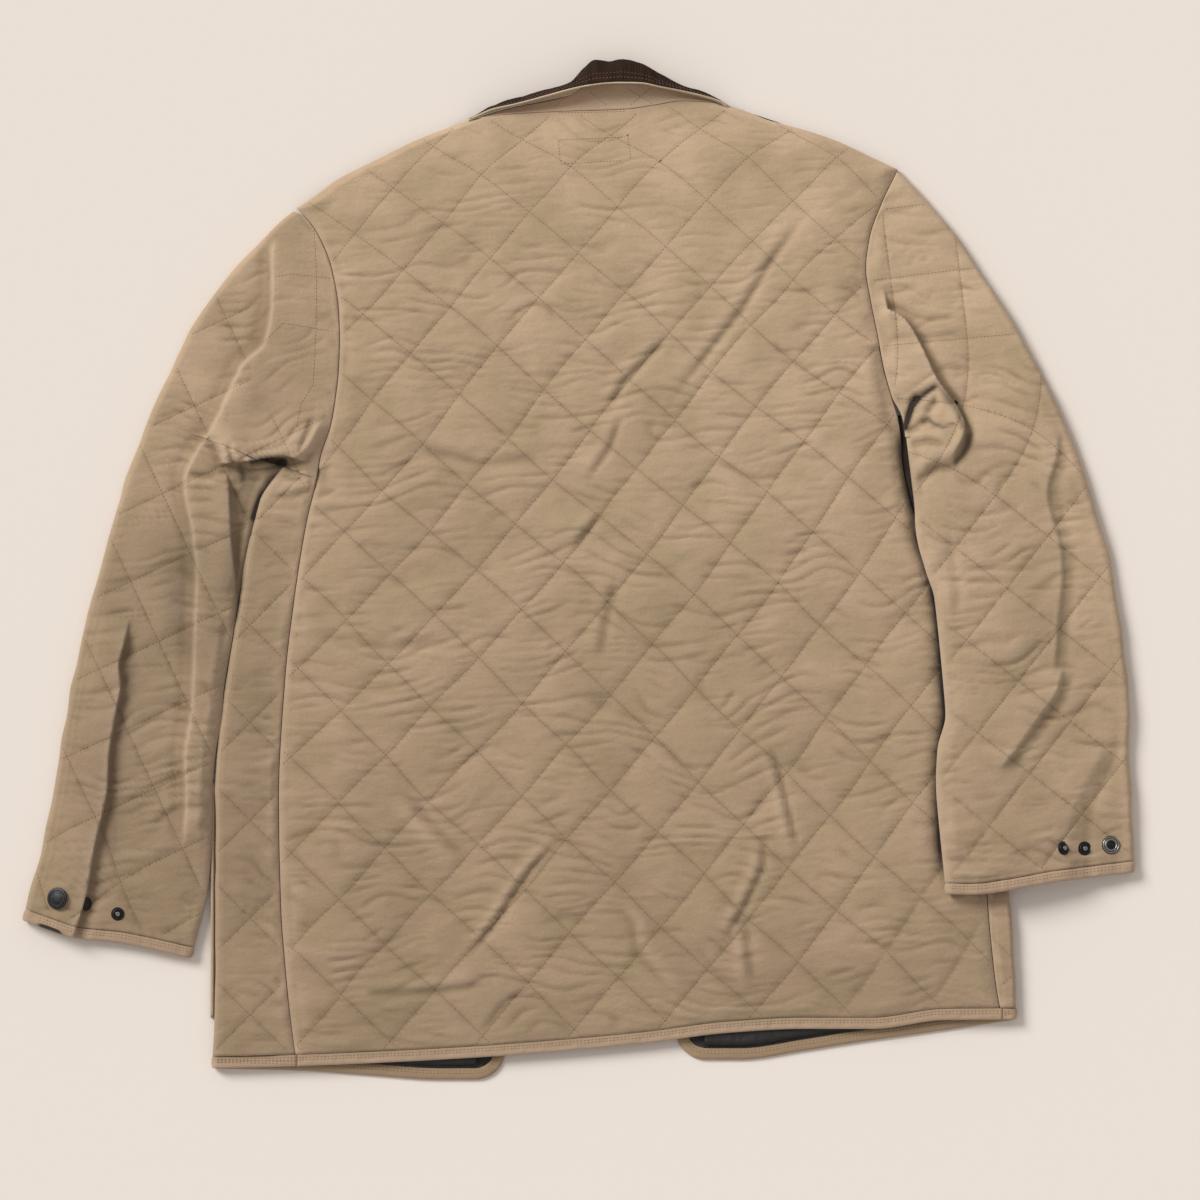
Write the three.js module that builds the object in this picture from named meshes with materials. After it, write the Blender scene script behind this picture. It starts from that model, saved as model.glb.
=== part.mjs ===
// A man's quilted jacket laid face down on a table, with its back up and its fronts open below.
// Millimetres. X runs to the right, Y towards the collar and Z up from the table.
// Each panel is a quilted wall: its outer points rise into the diamonds and folds over a plain inside.
import * as THREE from 'three';

// ---- sizes that drive the rest
const wall = 3.6; // two cloths and the wadding between them
const panelTop = 11; // height of the upper layer at its seams
const shoulderTop = 7.6; // height of the back where it rolls over to the shoulder seam
const seamGap = 0.9;
const touch = 0.3; // clearance between pieces that lie on each other
const diamond = 86.4; // length of a quilted diamond, point to point
const step = diamond / 4;
const puff = 2.8; // rise of the wadding in the middle of a diamond
const bindingWidth = 10;
const bindingGap = 0.5;
const hemMorph = 65; // the quilting straightens to the hem over this length
const padThickness = 2.1; // pocket or collar leaf under the fronts
const edgeInset = 9; // the rolled edge of a panel's face
const columnMargin = 6; // no column of the quilting stands closer than this to an edge
const foldMargin = 4; // nor a lap's edge closer than this
const thinnest = 0.8; // least hollow between two layers

const khaki = { color: 0xb8a080, roughness: 0.92, metalness: 0 };
const bindingCloth = { color: 0xb39a80, roughness: 0.9, metalness: 0 };
const collarCloth = { color: 0x4b3c32, roughness: 0.95, metalness: 0 };
const pipingCloth = { color: 0xd8ccb8, roughness: 0.85, metalness: 0 };
const liningCloth = { color: 0x1c1a1a, roughness: 0.7, metalness: 0 };
const gunmetal = { color: 0x2b2a2a, roughness: 0.35, metalness: 0.9 };

// ---- outline of the back: side seam, armhole, shoulder
const leftEdge = [
  { y: -452, x: -255 }, { y: -399, x: -262 }, { y: -358, x: -266 }, { y: -303, x: -270 },
  { y: -207, x: -272 }, { y: -96, x: -266 }, { y: -27, x: -258 }, { y: 42, x: -247 },
  { y: 80, x: -238 }, { y: 103, x: -234 }, { y: 130, x: -225 }, { y: 153, x: -221 },
  { y: 180, x: -218 }, { y: 207, x: -217 }, { y: 234, x: -218 }, { y: 270, x: -224 },
  { y: 288, x: -230 }, { y: 310, x: -242 }, { y: 324, x: -255 }, { y: 325, x: -256 },
  { y: 326, x: -254.5 }, { y: 333, x: -244 }, { y: 350, x: -221 }, { y: 369, x: -184 },
  { y: 387, x: -147 }, { y: 396, x: -124 }, { y: 406, x: -98 },
];
const rightEdge = [
  { y: -412, x: 381 }, { y: -386, x: 375 }, { y: -348, x: 370 }, { y: -293, x: 365 },
  { y: -207, x: 357 }, { y: -117, x: 344 }, { y: -27, x: 326 }, { y: 27, x: 308 },
  { y: 63, x: 296 }, { y: 99, x: 289 }, { y: 118, x: 288 }, { y: 135, x: 285.5 },
  { y: 153, x: 280 }, { y: 182, x: 272 }, { y: 209, x: 267 }, { y: 244, x: 260 },
  { y: 271, x: 256 }, { y: 299, x: 259.5 }, { y: 330, x: 270.5 }, { y: 359, x: 284.5 },
  { y: 360, x: 285 }, { y: 361, x: 283 }, { y: 369, x: 266 }, { y: 387, x: 227 },
  { y: 396, x: 200 }, { y: 405, x: 167 }, { y: 412, x: 150 }, { y: 418, x: 131 },
];
// lower edge of the back hem, and the neck seam
const backHem = [
  { x: -334, y: -449 }, { x: -256, y: -447 }, { x: -142, y: -442 }, { x: -62, y: -437 },
  { x: 53, y: -427 }, { x: 133, y: -417 }, { x: 200, y: -413.5 }, { x: 262, y: -413.5 },
  { x: 328, y: -405.5 }, { x: 392, y: -405 },
];
const neckSeam = [
  { x: -98, y: 406 }, { x: -59, y: 410 }, { x: -22, y: 412 }, { x: 39, y: 414 },
  { x: 70, y: 418.4 }, { x: 90, y: 421.6 }, { x: 109, y: 421 }, { x: 131, y: 418 },
];
// The quilting on the back: where the cloth 300 mm left of the middle, at the middle and 300 mm
// right of it comes to lie, for each height t up the cloth.
const backGrain = [
  { t: -570, leftX: -338, midX: -47, rightX: 236, leftY: -438, midY: -423, rightY: -399 },
  { t: -430, leftX: -347, midX: -52, rightX: 224, leftY: -297, midY: -286, rightY: -261 },
  { t: -300, leftX: -344, midX: -54, rightX: 219, leftY: -167, midY: -159, rightY: -132 },
  { t: -170, leftX: -328, midX: -54, rightX: 212, leftY: -48, midY: -33, rightY: -5 },
  { t: -40, leftX: -328, midX: -64, rightX: 197, leftY: 76, midY: 81, rightY: 117 },
  { t: 90, leftX: -352, midX: -74, rightX: 189, leftY: 187, midY: 204, rightY: 228 },
  { t: 220, leftX: -360, midX: -85, rightX: 190, leftY: 275, midY: 321, rightY: 336 },
  { t: 350, leftX: -381, midX: -97, rightX: 180, leftY: 393, midY: 433, rightY: 455 },
];
const backHemT = -573;
const backNeckT = 335;
// soft troughs and ridges of the back, each from one end to the other
const backFolds = [
  { x0: 203, y0: 320, x1: 83, y1: 154, rise: -2.6, reach: 14 },
  { x0: 228, y0: 300, x1: 118, y1: 150, rise: 2.2, reach: 18 },
  { x0: 79, y0: 209, x1: 24, y1: 141, rise: -2, reach: 12 },
  { x0: 37, y0: 140, x1: -6, y1: 20, rise: -2, reach: 12 },
  { x0: 32, y0: -4, x1: 17, y1: -84, rise: -1.8, reach: 11 },
  { x0: 172, y0: -165, x1: 194, y1: -252, rise: -2.2, reach: 12 },
  { x0: 166, y0: -250, x1: 130, y1: -334, rise: -2.4, reach: 12 },
  { x0: 148, y0: -320, x1: 155, y1: -375, rise: 2, reach: 14 },
  { x0: -20, y0: -244, x1: -103, y1: -351, rise: -2.6, reach: 12 },
  { x0: -42, y0: -236, x1: -125, y1: -340, rise: 2.4, reach: 14 },
  { x0: -185, y0: -384, x1: -82, y1: -374, rise: -2, reach: 9 },
  { x0: 258, y0: 185, x1: 272, y1: 110, rise: 3, reach: 11 },
  { x0: 276, y0: 100, x1: 288, y1: 40, rise: 1.2, reach: 9 },
];

// ---- the fronts: fold at the side, lower hem and front edge
const leftFront = {
  side: -1,
  seam: leftEdge,
  underarm: 78,
  shoulder: 325,
  fold: [
    { y: -449, x: -332 }, { y: -405, x: -329.5 }, { y: -190, x: -328 }, { y: -153, x: -325 },
    { y: -117, x: -320 }, { y: -45, x: -308 }, { y: 27, x: -295 }, { y: 63, x: -283 },
    { y: 85, x: -268 },
  ],
  hem: [
    { x: -334, y: -449 }, { x: -253, y: -451 }, { x: -190, y: -455 }, { x: -127, y: -459 },
    { x: -60, y: -459 },
  ],
  edge: [
    { y: -459, x: -68 }, { y: -432, x: -68 }, { y: -100, x: -50 }, { y: 325, x: -30 },
    { y: 350, x: -38 }, { y: 375, x: -60 }, { y: 395, x: -85 }, { y: 406, x: -98 },
  ],
  rowAt: -137.7,
  columnAt: 298,
  pocket: { low: -403, high: -192, proud: 4 },
};
const rightFront = {
  side: 1,
  seam: rightEdge,
  underarm: 116,
  shoulder: 360,
  fold: [
    { y: -405, x: 392 }, { y: -351, x: 390 }, { y: -310, x: 387 }, { y: -252, x: 380 },
    { y: -207, x: 374 }, { y: -117, x: 360 }, { y: -27, x: 340 }, { y: 27, x: 322 },
    { y: 63, x: 309 }, { y: 99, x: 301 }, { y: 118, x: 299 },
  ],
  hem: [
    { x: 85, y: -441 }, { x: 143, y: -441 }, { x: 200, y: -433 }, { x: 251, y: -425 },
    { x: 287, y: -420 }, { x: 392, y: -405 },
  ],
  edge: [
    { y: -441, x: 85 }, { y: -414, x: 85 }, { y: -100, x: 76 }, { y: 335, x: 62 },
    { y: 360, x: 70 }, { y: 385, x: 92 }, { y: 405, x: 118 }, { y: 418, x: 131 },
  ],
  rowAt: -137.7,
  columnAt: 352,
  pocket: { low: -359, high: -148, proud: -14 },
};
const frontStep = 87.8 / 4; // the fronts' diamonds are stretched a little by hanging
const cornerRadius = 27; // rounded corner of each front at the hem
const pocketWidth = 180;
const bindingEnd = 324; // height at which the binding of the front edges runs out
const neckMargin = 2; // above that, the front's own edge stands in by this much

// ---- the sleeves, in frames that run down each sleeve (along) and outwards (across)
const leftSleeve = {
  side: -1,
  tilt: 20,
  originX: -376.6,
  originY: 68.3,
  top: -279,
  underarm: -60,
  armhole: leftEdge,
  shoulder: 325,
  outer: [
    { along: -282, across: -26 }, { along: -268, across: -16 }, { along: -240, across: -4 },
    { along: -200, across: 12 }, { along: -160, across: 24 }, { along: -120, across: 29 },
    { along: -60, across: 34 }, { along: 0, across: 35 }, { along: 80, across: 30 },
    { along: 140, across: 25 }, { along: 200, across: 16 }, { along: 260, across: 5 },
    { along: 320, across: -5 }, { along: 404, across: -16 },
  ],
  inner: [
    { along: -60, across: -97 }, { along: -42, across: -86 }, { along: -21, across: -86 },
    { along: 30, across: -91 }, { along: 66, across: -97 }, { along: 101, across: -104 },
    { along: 174, across: -115 }, { along: 226, across: -131 }, { along: 286, across: -151 },
    { along: 330, across: -162 }, { along: 404, across: -169 },
  ],
  cuff: [
    { across: -169, along: 384 }, { across: -104, along: 393 }, { across: -50, along: 404 },
    { across: -16, along: 404 },
  ],
  folds: [
    // the cap's loose cloth, lapped over the lower sleeve
    {
      raised: -1, rise: 9, reach: 42, drop: 3, ends: [-255, -30],
      line: [
        { along: -258, across: -15 }, { along: -160, across: -43 }, { along: -132, across: -31 },
        { along: -79, across: -26 }, { along: -26, across: -17 },
      ],
    },
    // roll along the inner side
    {
      raised: -1, rise: 8, reach: 34, drop: 4, ends: [-20, 215],
      line: [
        { along: -23, across: -18 }, { along: 26, across: -42 }, { along: 53, across: -55 },
        { along: 98, across: -70 }, { along: 144, across: -85 }, { along: 211, across: -102 },
      ],
    },
    // flap of cloth that runs out to the cuff
    {
      raised: 1, rise: 7, reach: 30, drop: 3, ends: [170, 460],
      line: [
        { along: 144, across: -16 }, { along: 214, across: -33 }, { along: 319, across: -49 },
        { along: 374, across: -58 }, { along: 404, across: -59 },
      ],
    },
  ],
};
const rightSleeve = {
  side: 1,
  tilt: 7,
  originX: 383.4,
  originY: -16.65,
  top: -383,
  underarm: -146,
  armhole: rightEdge,
  shoulder: 360,
  outer: [
    { along: -386, across: -52 }, { along: -360, across: -34 }, { along: -320, across: -7 },
    { along: -280, across: 14 }, { along: -220, across: 42 }, { along: -180, across: 57 },
    { along: -120, across: 75 }, { along: -60, across: 87 }, { along: 0, across: 96 },
    { along: 80, across: 98 }, { along: 120, across: 97 }, { along: 160, across: 91 },
    { along: 220, across: 87 }, { along: 268, across: 83 },
  ],
  inner: [
    { along: -146, across: -77 }, { along: -72, across: -77 }, { along: -25, across: -71 },
    { along: 2, across: -66 }, { along: 93, across: -68 }, { along: 107, across: -69 },
    { along: 137, across: -80 }, { along: 181, across: -86 }, { along: 268, across: -88 },
  ],
  cuff: [
    { across: -88, along: 267 }, { across: -52, along: 271 }, { across: 27, along: 268 },
    { across: 83, along: 268 },
  ],
  folds: [
    // lap below the armhole
    {
      raised: -1, rise: 8, reach: 26, drop: 3, ends: [-275, -150],
      line: [
        { along: -263, across: -78 }, { along: -252, across: -64 }, { along: -228, across: -53 },
        { along: -198, across: -43 }, { along: -150, across: -22 }, { along: -123, across: -35 },
      ],
    },
    // long lap from the elbow to the inner side
    {
      raised: -1, rise: 10, reach: 46, drop: 3, ends: [-200, 158],
      line: [
        { along: -195, across: 41 }, { along: -144, across: 63 }, { along: -117, across: 58 },
        { along: -77, across: 44 }, { along: -24, across: 50 }, { along: 44, across: 38 },
        { along: 73, across: 32 }, { along: 103, across: 12 }, { along: 127, across: -7 },
        { along: 150, across: -41 },
      ],
    },
    // ridge that runs out to the cuff
    {
      raised: -1, rise: 6, reach: 24, drop: 5, ends: [125, 330],
      line: [
        { along: 126, across: 80 }, { along: 155, across: 67 }, { along: 180, across: 48 },
        { along: 214, across: 32 }, { along: 268, across: 26 },
      ],
    },
  ],
};
const sleeveStep = 84 / 4;
const lapHeight = panelTop + puff + 1.4; // the right sleeve lies this high on the body's side

// ---- the collar, in upright sections from its left end to its right end
const collarSections = [
  { x: -92, roll: 410.5, bulge: 412.6, edge: 411.5, bulgeZ: 7, edgeZ: 15 },
  { x: -80, roll: 413, bulge: 417, edge: 415, bulgeZ: 9, edgeZ: 19 },
  { x: -60, roll: 418, bulge: 424, edge: 419.5, bulgeZ: 12, edgeZ: 27 },
  { x: -30, roll: 424, bulge: 432.5, edge: 427.5, bulgeZ: 15, edgeZ: 34 },
  { x: -10, roll: 429, bulge: 438.5, edge: 433, bulgeZ: 17, edgeZ: 38 },
  { x: 2, roll: 436, bulge: 450.5, edge: 435.6, bulgeZ: 18, edgeZ: 39 },
  { x: 14, roll: 442, bulge: 458.5, edge: 437.6, bulgeZ: 20, edgeZ: 40 },
  { x: 24, roll: 443, bulge: 457.5, edge: 438.6, bulgeZ: 20, edgeZ: 40.5 },
  { x: 36, roll: 444, bulge: 459.5, edge: 439, bulgeZ: 20, edgeZ: 41 },
  { x: 53, roll: 443, bulge: 456, edge: 438.6, bulgeZ: 20, edgeZ: 40 },
  { x: 71, roll: 438.5, bulge: 446.5, edge: 435.3, bulgeZ: 17, edgeZ: 35 },
  { x: 90, roll: 432.5, bulge: 438, edge: 431.6, bulgeZ: 13, edgeZ: 28 },
  { x: 114, roll: 426.5, bulge: 429.6, edge: 426, bulgeZ: 9, edgeZ: 20 },
  { x: 126, roll: 422, bulge: 423.8, edge: 422.6, bulgeZ: 7, edgeZ: 15 },
];
const rollHeight = 2.6;
const standThickness = 2.6;
const fallThickness = 1.6;
const underThickness = 1.2;
const pipingThickness = 1.4;
const collarCount = 30; // sections in the collar's pieces

// ---- snaps on the cuffs
const snaps = [
  { name: 'snap_cap_left', x: -471, y: -296, kind: 'cap', radius: 9.5 },
  { name: 'snap_cap_left_inner', x: -446, y: -301, kind: 'cap', radius: 6.2 },
  { name: 'snap_stud_left', x: -417, y: -310, kind: 'stud', radius: 6 },
  { name: 'snap_stud_right_outer', x: 435, y: -251, kind: 'stud', radius: 6 },
  { name: 'snap_stud_right', x: 453, y: -251, kind: 'stud', radius: 6.3 },
  { name: 'snap_socket_right', x: 477, y: -248, kind: 'socket', radius: 8.2 },
];

// ======== curves and surfaces ========

function smooth(from, to, value) {
  return THREE.MathUtils.smoothstep(value, from, to);
}

// Reads a column of a table at a value of its key, along a curve that never overshoots its rows.
function at(table, key, column, value) {
  const last = table.length - 1;
  if (value <= table[0][key]) return table[0][column];
  if (value >= table[last][key]) return table[last][column];
  let i = 0;
  while (value > table[i + 1][key]) i += 1;
  const slope = (n) => {
    if (n < 0 || n >= last) return null;
    return (table[n + 1][column] - table[n][column]) / (table[n + 1][key] - table[n][key]);
  };
  const tangent = (n) => {
    const before = slope(n - 1);
    const after = slope(n);
    if (before === null) return after;
    if (after === null) return before;
    if (before * after <= 0) return 0;
    return (2 * before * after) / (before + after);
  };
  const span = table[i + 1][key] - table[i][key];
  const u = (value - table[i][key]) / span;
  const start = table[i][column];
  const end = table[i + 1][column];
  const blend = u * u * (3 - 2 * u);
  const curve = u * (1 - u) * ((1 - u) * tangent(i) - u * tangent(i + 1)) * span;
  return start + (end - start) * blend + curve;
}

// Rise of the wadding at a point of the quilting grid, whose lines cross every fourth step.
function puffAt(column, row) {
  const distance = (n) => {
    const rest = ((n % 4) + 4) % 4;
    return Math.sin((Math.PI * rest) / 4);
  };
  const across = distance(column + row);
  const down = distance(column - row);
  return puff * Math.min(1, 1.35 * Math.sqrt(across * down));
}

function bend(point, column, row) {
  return { ...point, g: column, row };
}

// Distance from a point to a straight fold, 0 to 1 along its fading ends.
function foldRise(fold, x, y) {
  const dx = fold.x1 - fold.x0;
  const dy = fold.y1 - fold.y0;
  const length = Math.hypot(dx, dy);
  const u = ((x - fold.x0) * dx + (y - fold.y0) * dy) / (length * length);
  const near = THREE.MathUtils.clamp(u, 0, 1);
  const away = Math.hypot(x - fold.x0 - near * dx, y - fold.y0 - near * dy);
  return fold.rise * Math.exp(-((away / fold.reach) ** 2));
}

function distance(a, b) {
  return Math.hypot(a.x - b.x, a.y - b.y, a.z - b.z);
}

// Joins two rows of points with triangles. The points are matched by a key that grows along both,
// and between corners, which stand at whole thousands of g, the shorter new edge is taken.
function zip(faces, lower, upper, key) {
  let i = 0;
  let j = 0;
  while (i < lower.length - 1 || j < upper.length - 1) {
    const a = lower[i];
    const b = upper[j];
    const nextA = lower[i + 1];
    const nextB = upper[j + 1];
    const square = nextA && nextB && nextA[key] === nextB[key] && a[key] === b[key];
    const lowerIsNext = () => {
      if (!nextA || !nextB) return !nextB;
      const sameStretch = Math.floor(nextA.g / 1000) === Math.floor(nextB.g / 1000);
      if (key === 'g' && sameStretch) return distance(nextA, b) <= distance(a, nextB);
      return nextA[key] <= nextB[key];
    };
    if (square && (a.g - a.row) % 2 === 0) {
      faces.push([a, nextA, nextB], [a, nextB, b]);
      i += 1;
      j += 1;
    } else if (square) {
      faces.push([a, nextA, b], [nextA, nextB, b]);
      i += 1;
      j += 1;
    } else if (lowerIsNext()) {
      faces.push([a, nextA, b]);
      i += 1;
    } else {
      faces.push([a, nextB, b]);
      j += 1;
    }
  }
}

// A closed wall between rows of outer points and rows of inner points.
function wallBetween(outer, inner) {
  const faces = [];
  for (let r = 0; r + 1 < outer.length; r += 1) zip(faces, outer[r], outer[r + 1], 'g');
  const inside = [];
  for (let r = 0; r + 1 < inner.length; r += 1) zip(inside, inner[r], inner[r + 1], 'g');
  for (const [a, b, c] of inside) faces.push([c, b, a]);
  zip(faces, inner[0], outer[0], 'g');
  zip(faces, outer[outer.length - 1], inner[inner.length - 1], 'g');
  const first = (row) => row[0];
  const last = (row) => row[row.length - 1];
  zip(faces, outer.map(first), inner.map(first), 'row');
  zip(faces, inner.map(last), outer.map(last), 'row');
  return solidOf(faces);
}

function solidOf(faces) {
  const index = new Map();
  const positions = [];
  const triangles = [];
  for (const face of faces) {
    for (const point of face) {
      if (!index.has(point)) {
        index.set(point, index.size);
        positions.push(point.x, point.y, point.z);
      }
      triangles.push(index.get(point));
    }
  }
  let volume = 0;
  for (const [a, b, c] of faces) {
    volume += a.x * (b.y * c.z - b.z * c.y) - a.y * (b.x * c.z - b.z * c.x) + a.z * (b.x * c.y - b.y * c.x);
  }
  if (volume < 0) triangles.reverse();
  const geometry = new THREE.BufferGeometry();
  geometry.setAttribute('position', new THREE.Float32BufferAttribute(positions, 3));
  geometry.setIndex(triangles);
  return geometry;
}

// Root of a function that changes sign between two values.
function crossing(from, to, inside) {
  let low = from;
  let high = to;
  for (let n = 0; n < 40; n += 1) {
    const middle = (low + high) / 2;
    if (inside(middle)) low = middle;
    else high = middle;
  }
  return low;
}

// Height of the seam around the armhole and over the shoulder.
function seamHeight(y, shoulder) {
  return THREE.MathUtils.lerp(panelTop, shoulderTop, smooth(shoulder - 30, shoulder, y));
}

// ======== back ========

function backPlan(s, t) {
  const u = s / 300;
  const weigh = (axis, height) => {
    const left = at(backGrain, 't', `left${axis}`, height);
    const middle = at(backGrain, 't', `mid${axis}`, height);
    const right = at(backGrain, 't', `right${axis}`, height);
    return middle + (u * (right - left)) / 2 + u * u * ((right + left) / 2 - middle);
  };
  const x = weigh('X', t);
  const toHem = 1 - smooth(backHemT, backHemT + hemMorph, t);
  const toNeck = smooth(backNeckT - 4 * step, backNeckT, t);
  const hemShift = at(backHem, 'x', 'y', x) + bindingWidth + bindingGap - weigh('Y', backHemT);
  const neckShift = at(neckSeam, 'x', 'y', x) - weigh('Y', backNeckT);
  return { x, y: weigh('Y', t) + toHem * hemShift + toNeck * neckShift };
}

function backHeight(x, y) {
  const side = Math.min(x - at(leftEdge, 'y', 'x', y), at(rightEdge, 'y', 'x', y) - x);
  const end = Math.min(y - at(backHem, 'x', 'y', x) - bindingWidth, at(neckSeam, 'x', 'y', x) - y);
  const loose = smooth(0, 60, side) * smooth(0, 60, end);
  return panelTop + 2.4 * loose;
}

function backRow(t, columnStep, asInside) {
  const row = t / step;
  const inBack = (s) => {
    const { x, y } = backPlan(s, t);
    return x > at(leftEdge, 'y', 'x', y) && x < at(rightEdge, 'y', 'x', y);
  };
  const middle = 50;
  const left = crossing(middle, middle - 530, inBack);
  const right = crossing(middle, middle + 550, inBack);
  const points = [];
  const edgePoint = (s, sign, inset) => {
    const plan = backPlan(s - sign * inset, t);
    const shoulder = sign < 0 ? leftFront.shoulder : rightFront.shoulder;
    const rolled = inset > 0 ? 0.75 : 0;
    const seam = seamHeight(plan.y, shoulder);
    const z = THREE.MathUtils.lerp(seam, panelTop, rolled);
    return bend({ ...plan, z: asInside ? z - wall : z }, (s - sign * inset) / step, row);
  };
  points.push(edgePoint(left, -1, 0));
  if (!asInside) points.push(edgePoint(left, -1, edgeInset));
  const margin = asInside ? edgeInset : edgeInset + 5;
  for (let c = Math.ceil((left + margin) / step); c * step < right - margin; c += 1) {
    if (c % columnStep === 0) {
      const plan = backPlan(c * step, t);
      let z = backHeight(plan.x, plan.y);
      if (asInside) {
        z -= wall;
      } else {
        const rowIsWhole = Math.abs(row - Math.round(row)) < 1e-9;
        if (rowIsWhole) z += puffAt(c, row);
        for (const fold of backFolds) z += foldRise(fold, plan.x, plan.y);
      }
      points.push(bend({ ...plan, z }, c, row));
    }
  }
  if (!asInside) points.push(edgePoint(right, 1, edgeInset));
  points.push(edgePoint(right, 1, 0));
  return points;
}

function backPanel() {
  const firstRow = Math.ceil(backHemT / step + 0.4);
  const lastRow = Math.floor(backNeckT / step - 0.4);
  const outer = [backRow(backHemT, 1, false)];
  const inner = [backRow(backHemT, 1, true)];
  for (let row = firstRow; row <= lastRow; row += 1) {
    outer.push(backRow(row * step, 1, false));
    inner.push(backRow(row * step, 4, true));
  }
  outer.push(backRow(backNeckT, 1, false));
  inner.push(backRow(backNeckT, 1, true));
  return wallBetween(outer, inner);
}

// ======== fronts ========

// Lift of the front's underside over a pocket or collar leaf that lies below it.
function padLift(front, outward, y) {
  const { pocket } = front;
  const foldOut = front.side * at(front.fold, 'y', 'x', pocket.low);
  const besidePocket = Math.max(foldOut - pocketWidth - outward, 0);
  const pastPocket = Math.max(pocket.low - y, y - pocket.high, 0);
  const overPocket = (1 - smooth(30, 70, besidePocket)) * (1 - smooth(24, 44, pastPocket));
  return (padThickness + touch) * overPocket;
}

// Cross-section of a front, from the side seam out to the fold and back under to the front edge.
function frontRow(front, y, toHem, options) {
  const { side } = front;
  const { asInside, isEnd, isTurn } = options;
  const row = y / frontStep;
  const inset = asInside ? wall : 0;
  const wrapped = isTurn || y < front.underarm;
  const points = [];
  const hemAtFold = at(front.hem, 'x', 'y', side * 400);
  const place = (outward, z, g) => {
    const lower = g >= 2000;
    const x = side * outward;
    const hem = lower ? at(front.hem, 'x', 'y', x) : at(backHem, 'x', 'y', x);
    points.push(bend({ x, y: y + toHem * (hem - hemAtFold), z }, g, row));
  };
  const seamOut = side * at(front.seam, 'y', 'x', y);
  let start = seamOut - seamGap - 5 * (1 - smooth(0, 30, y - front.underarm));
  if (wrapped) {
    const foldOut = side * at(front.fold, 'y', 'x', y) - inset;
    const under = padLift(front, foldOut, y) + inset;
    const top = panelTop - inset;
    const radius = (top - under) / 2;
    const turnAt = foldOut - radius;
    if (!isTurn) place(seamOut + seamGap / 2, top, 0);
    if (!asInside && !isTurn) {
      const columnOf = (outward) => (front.columnAt - outward) / frontStep;
      for (let c = Math.floor(columnOf(seamOut + 9)); columnOf(turnAt - 5) < c; c -= 1) {
        const outward = front.columnAt - c * frontStep;
        const quilted = Math.round((y - front.rowAt) / frontStep);
        place(outward, top + 0.8 * puffAt(c, quilted), 10 - c);
      }
    }
    if (!isTurn) place(turnAt, top, 1000);
    const turns = 4;
    for (let n = isTurn ? turns / 2 : 1; n < turns; n += 1) {
      const angle = (Math.PI * n) / turns;
      const z = under + radius + radius * Math.cos(angle);
      place(turnAt + radius * Math.sin(angle), z, 1000 + n);
    }
    place(turnAt, under, 2000);
    start = turnAt;
  } else {
    place(start, padLift(front, start, y) + inset, 2000);
  }
  const corner = cornerRadius - bindingWidth;
  const hemHere = at(front.hem, 'x', 'y', side * 100);
  const laidY = y + toHem * (hemHere - hemAtFold);
  const above = Math.max(0, laidY - hemHere - bindingWidth - bindingGap);
  const cut = above < corner ? corner - Math.sqrt(corner ** 2 - (corner - above) ** 2) : 0;
  const bound = y < bindingEnd + bindingGap ? bindingWidth + bindingGap : neckMargin;
  const edge = side * at(front.edge, 'y', 'x', laidY) + bound + cut;
  const spacing = asInside && !isEnd ? 4 : 2;
  for (let c = Math.floor((start - 8) / step); c * step > edge + 8; c -= 1) {
    if (c % spacing === 0) place(c * step, padLift(front, c * step, y) + inset, 2100 - c);
  }
  place(edge, padLift(front, edge, y) + inset, 3000);
  return points;
}

function frontPanel(front) {
  const hemAtFold = at(front.hem, 'x', 'y', front.side * 400) + bindingWidth + bindingGap;
  const top = front.side < 0 ? 398 : 411;
  const outer = [];
  const inner = [];
  const add = (y, options) => {
    const toHem = 1 - smooth(hemAtFold, hemAtFold + hemMorph, y);
    outer.push(frontRow(front, y, toHem, options));
    inner.push(frontRow(front, y, toHem, { ...options, asInside: true }));
  };
  add(hemAtFold, { isEnd: true });
  add(hemAtFold + 3, { isEnd: true });
  add(hemAtFold + 8, {});
  const first = Math.ceil((hemAtFold + 14 - front.rowAt) / frontStep);
  const heightOf = (n) => front.rowAt + n * frontStep;
  for (let n = first; heightOf(n) < top - 6; n += 1) {
    const isLastWrapped = heightOf(n) < front.underarm && heightOf(n + 1) >= front.underarm;
    add(heightOf(n), {});
    if (isLastWrapped) add(heightOf(n) + frontStep / 4, { isTurn: true });
  }
  add(top, { isEnd: true });
  return wallBetween(outer, inner);
}

// ======== sleeves ========

function sleevePoint(sleeve, along, across) {
  const angle = THREE.MathUtils.degToRad(sleeve.tilt);
  const { side } = sleeve;
  const downX = side * Math.sin(angle);
  const downY = -Math.cos(angle);
  const outX = side * Math.cos(angle);
  const outY = Math.sin(angle);
  const x = sleeve.originX + along * downX + across * outX;
  const y = sleeve.originY + along * downY + across * outY;
  return { x, y };
}

// Height of the sleeve's underside: the right sleeve's inner part lies on the body's side, from the
// underarm down, and slopes to the table beside it.
function sleeveRest(sleeve, x, y) {
  if (sleeve.side < 0) return 0;
  const beyond = x - at(rightFront.fold, 'y', 'x', y);
  const { underarm } = rightFront;
  return lapHeight * (1 - smooth(2, 26, beyond)) * (1 - smooth(underarm - 12, underarm + 12, y));
}

// Rise of the laps and rolls at a point of a sleeve.
function sleeveFolds(sleeve, along, across) {
  let rise = 0;
  for (const fold of sleeve.folds) {
    const reach = fold.raised * (across - at(fold.line, 'along', 'across', along));
    const ends = smooth(fold.ends[0], fold.ends[0] + 30, along);
    const fade = ends * (1 - smooth(fold.ends[1] - 30, fold.ends[1], along));
    const lifted = smooth(-fold.drop, 0, reach);
    rise += fold.rise * fade * lifted * Math.exp(-((Math.max(reach, 0) / fold.reach) ** 2));
  }
  return rise;
}

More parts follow.
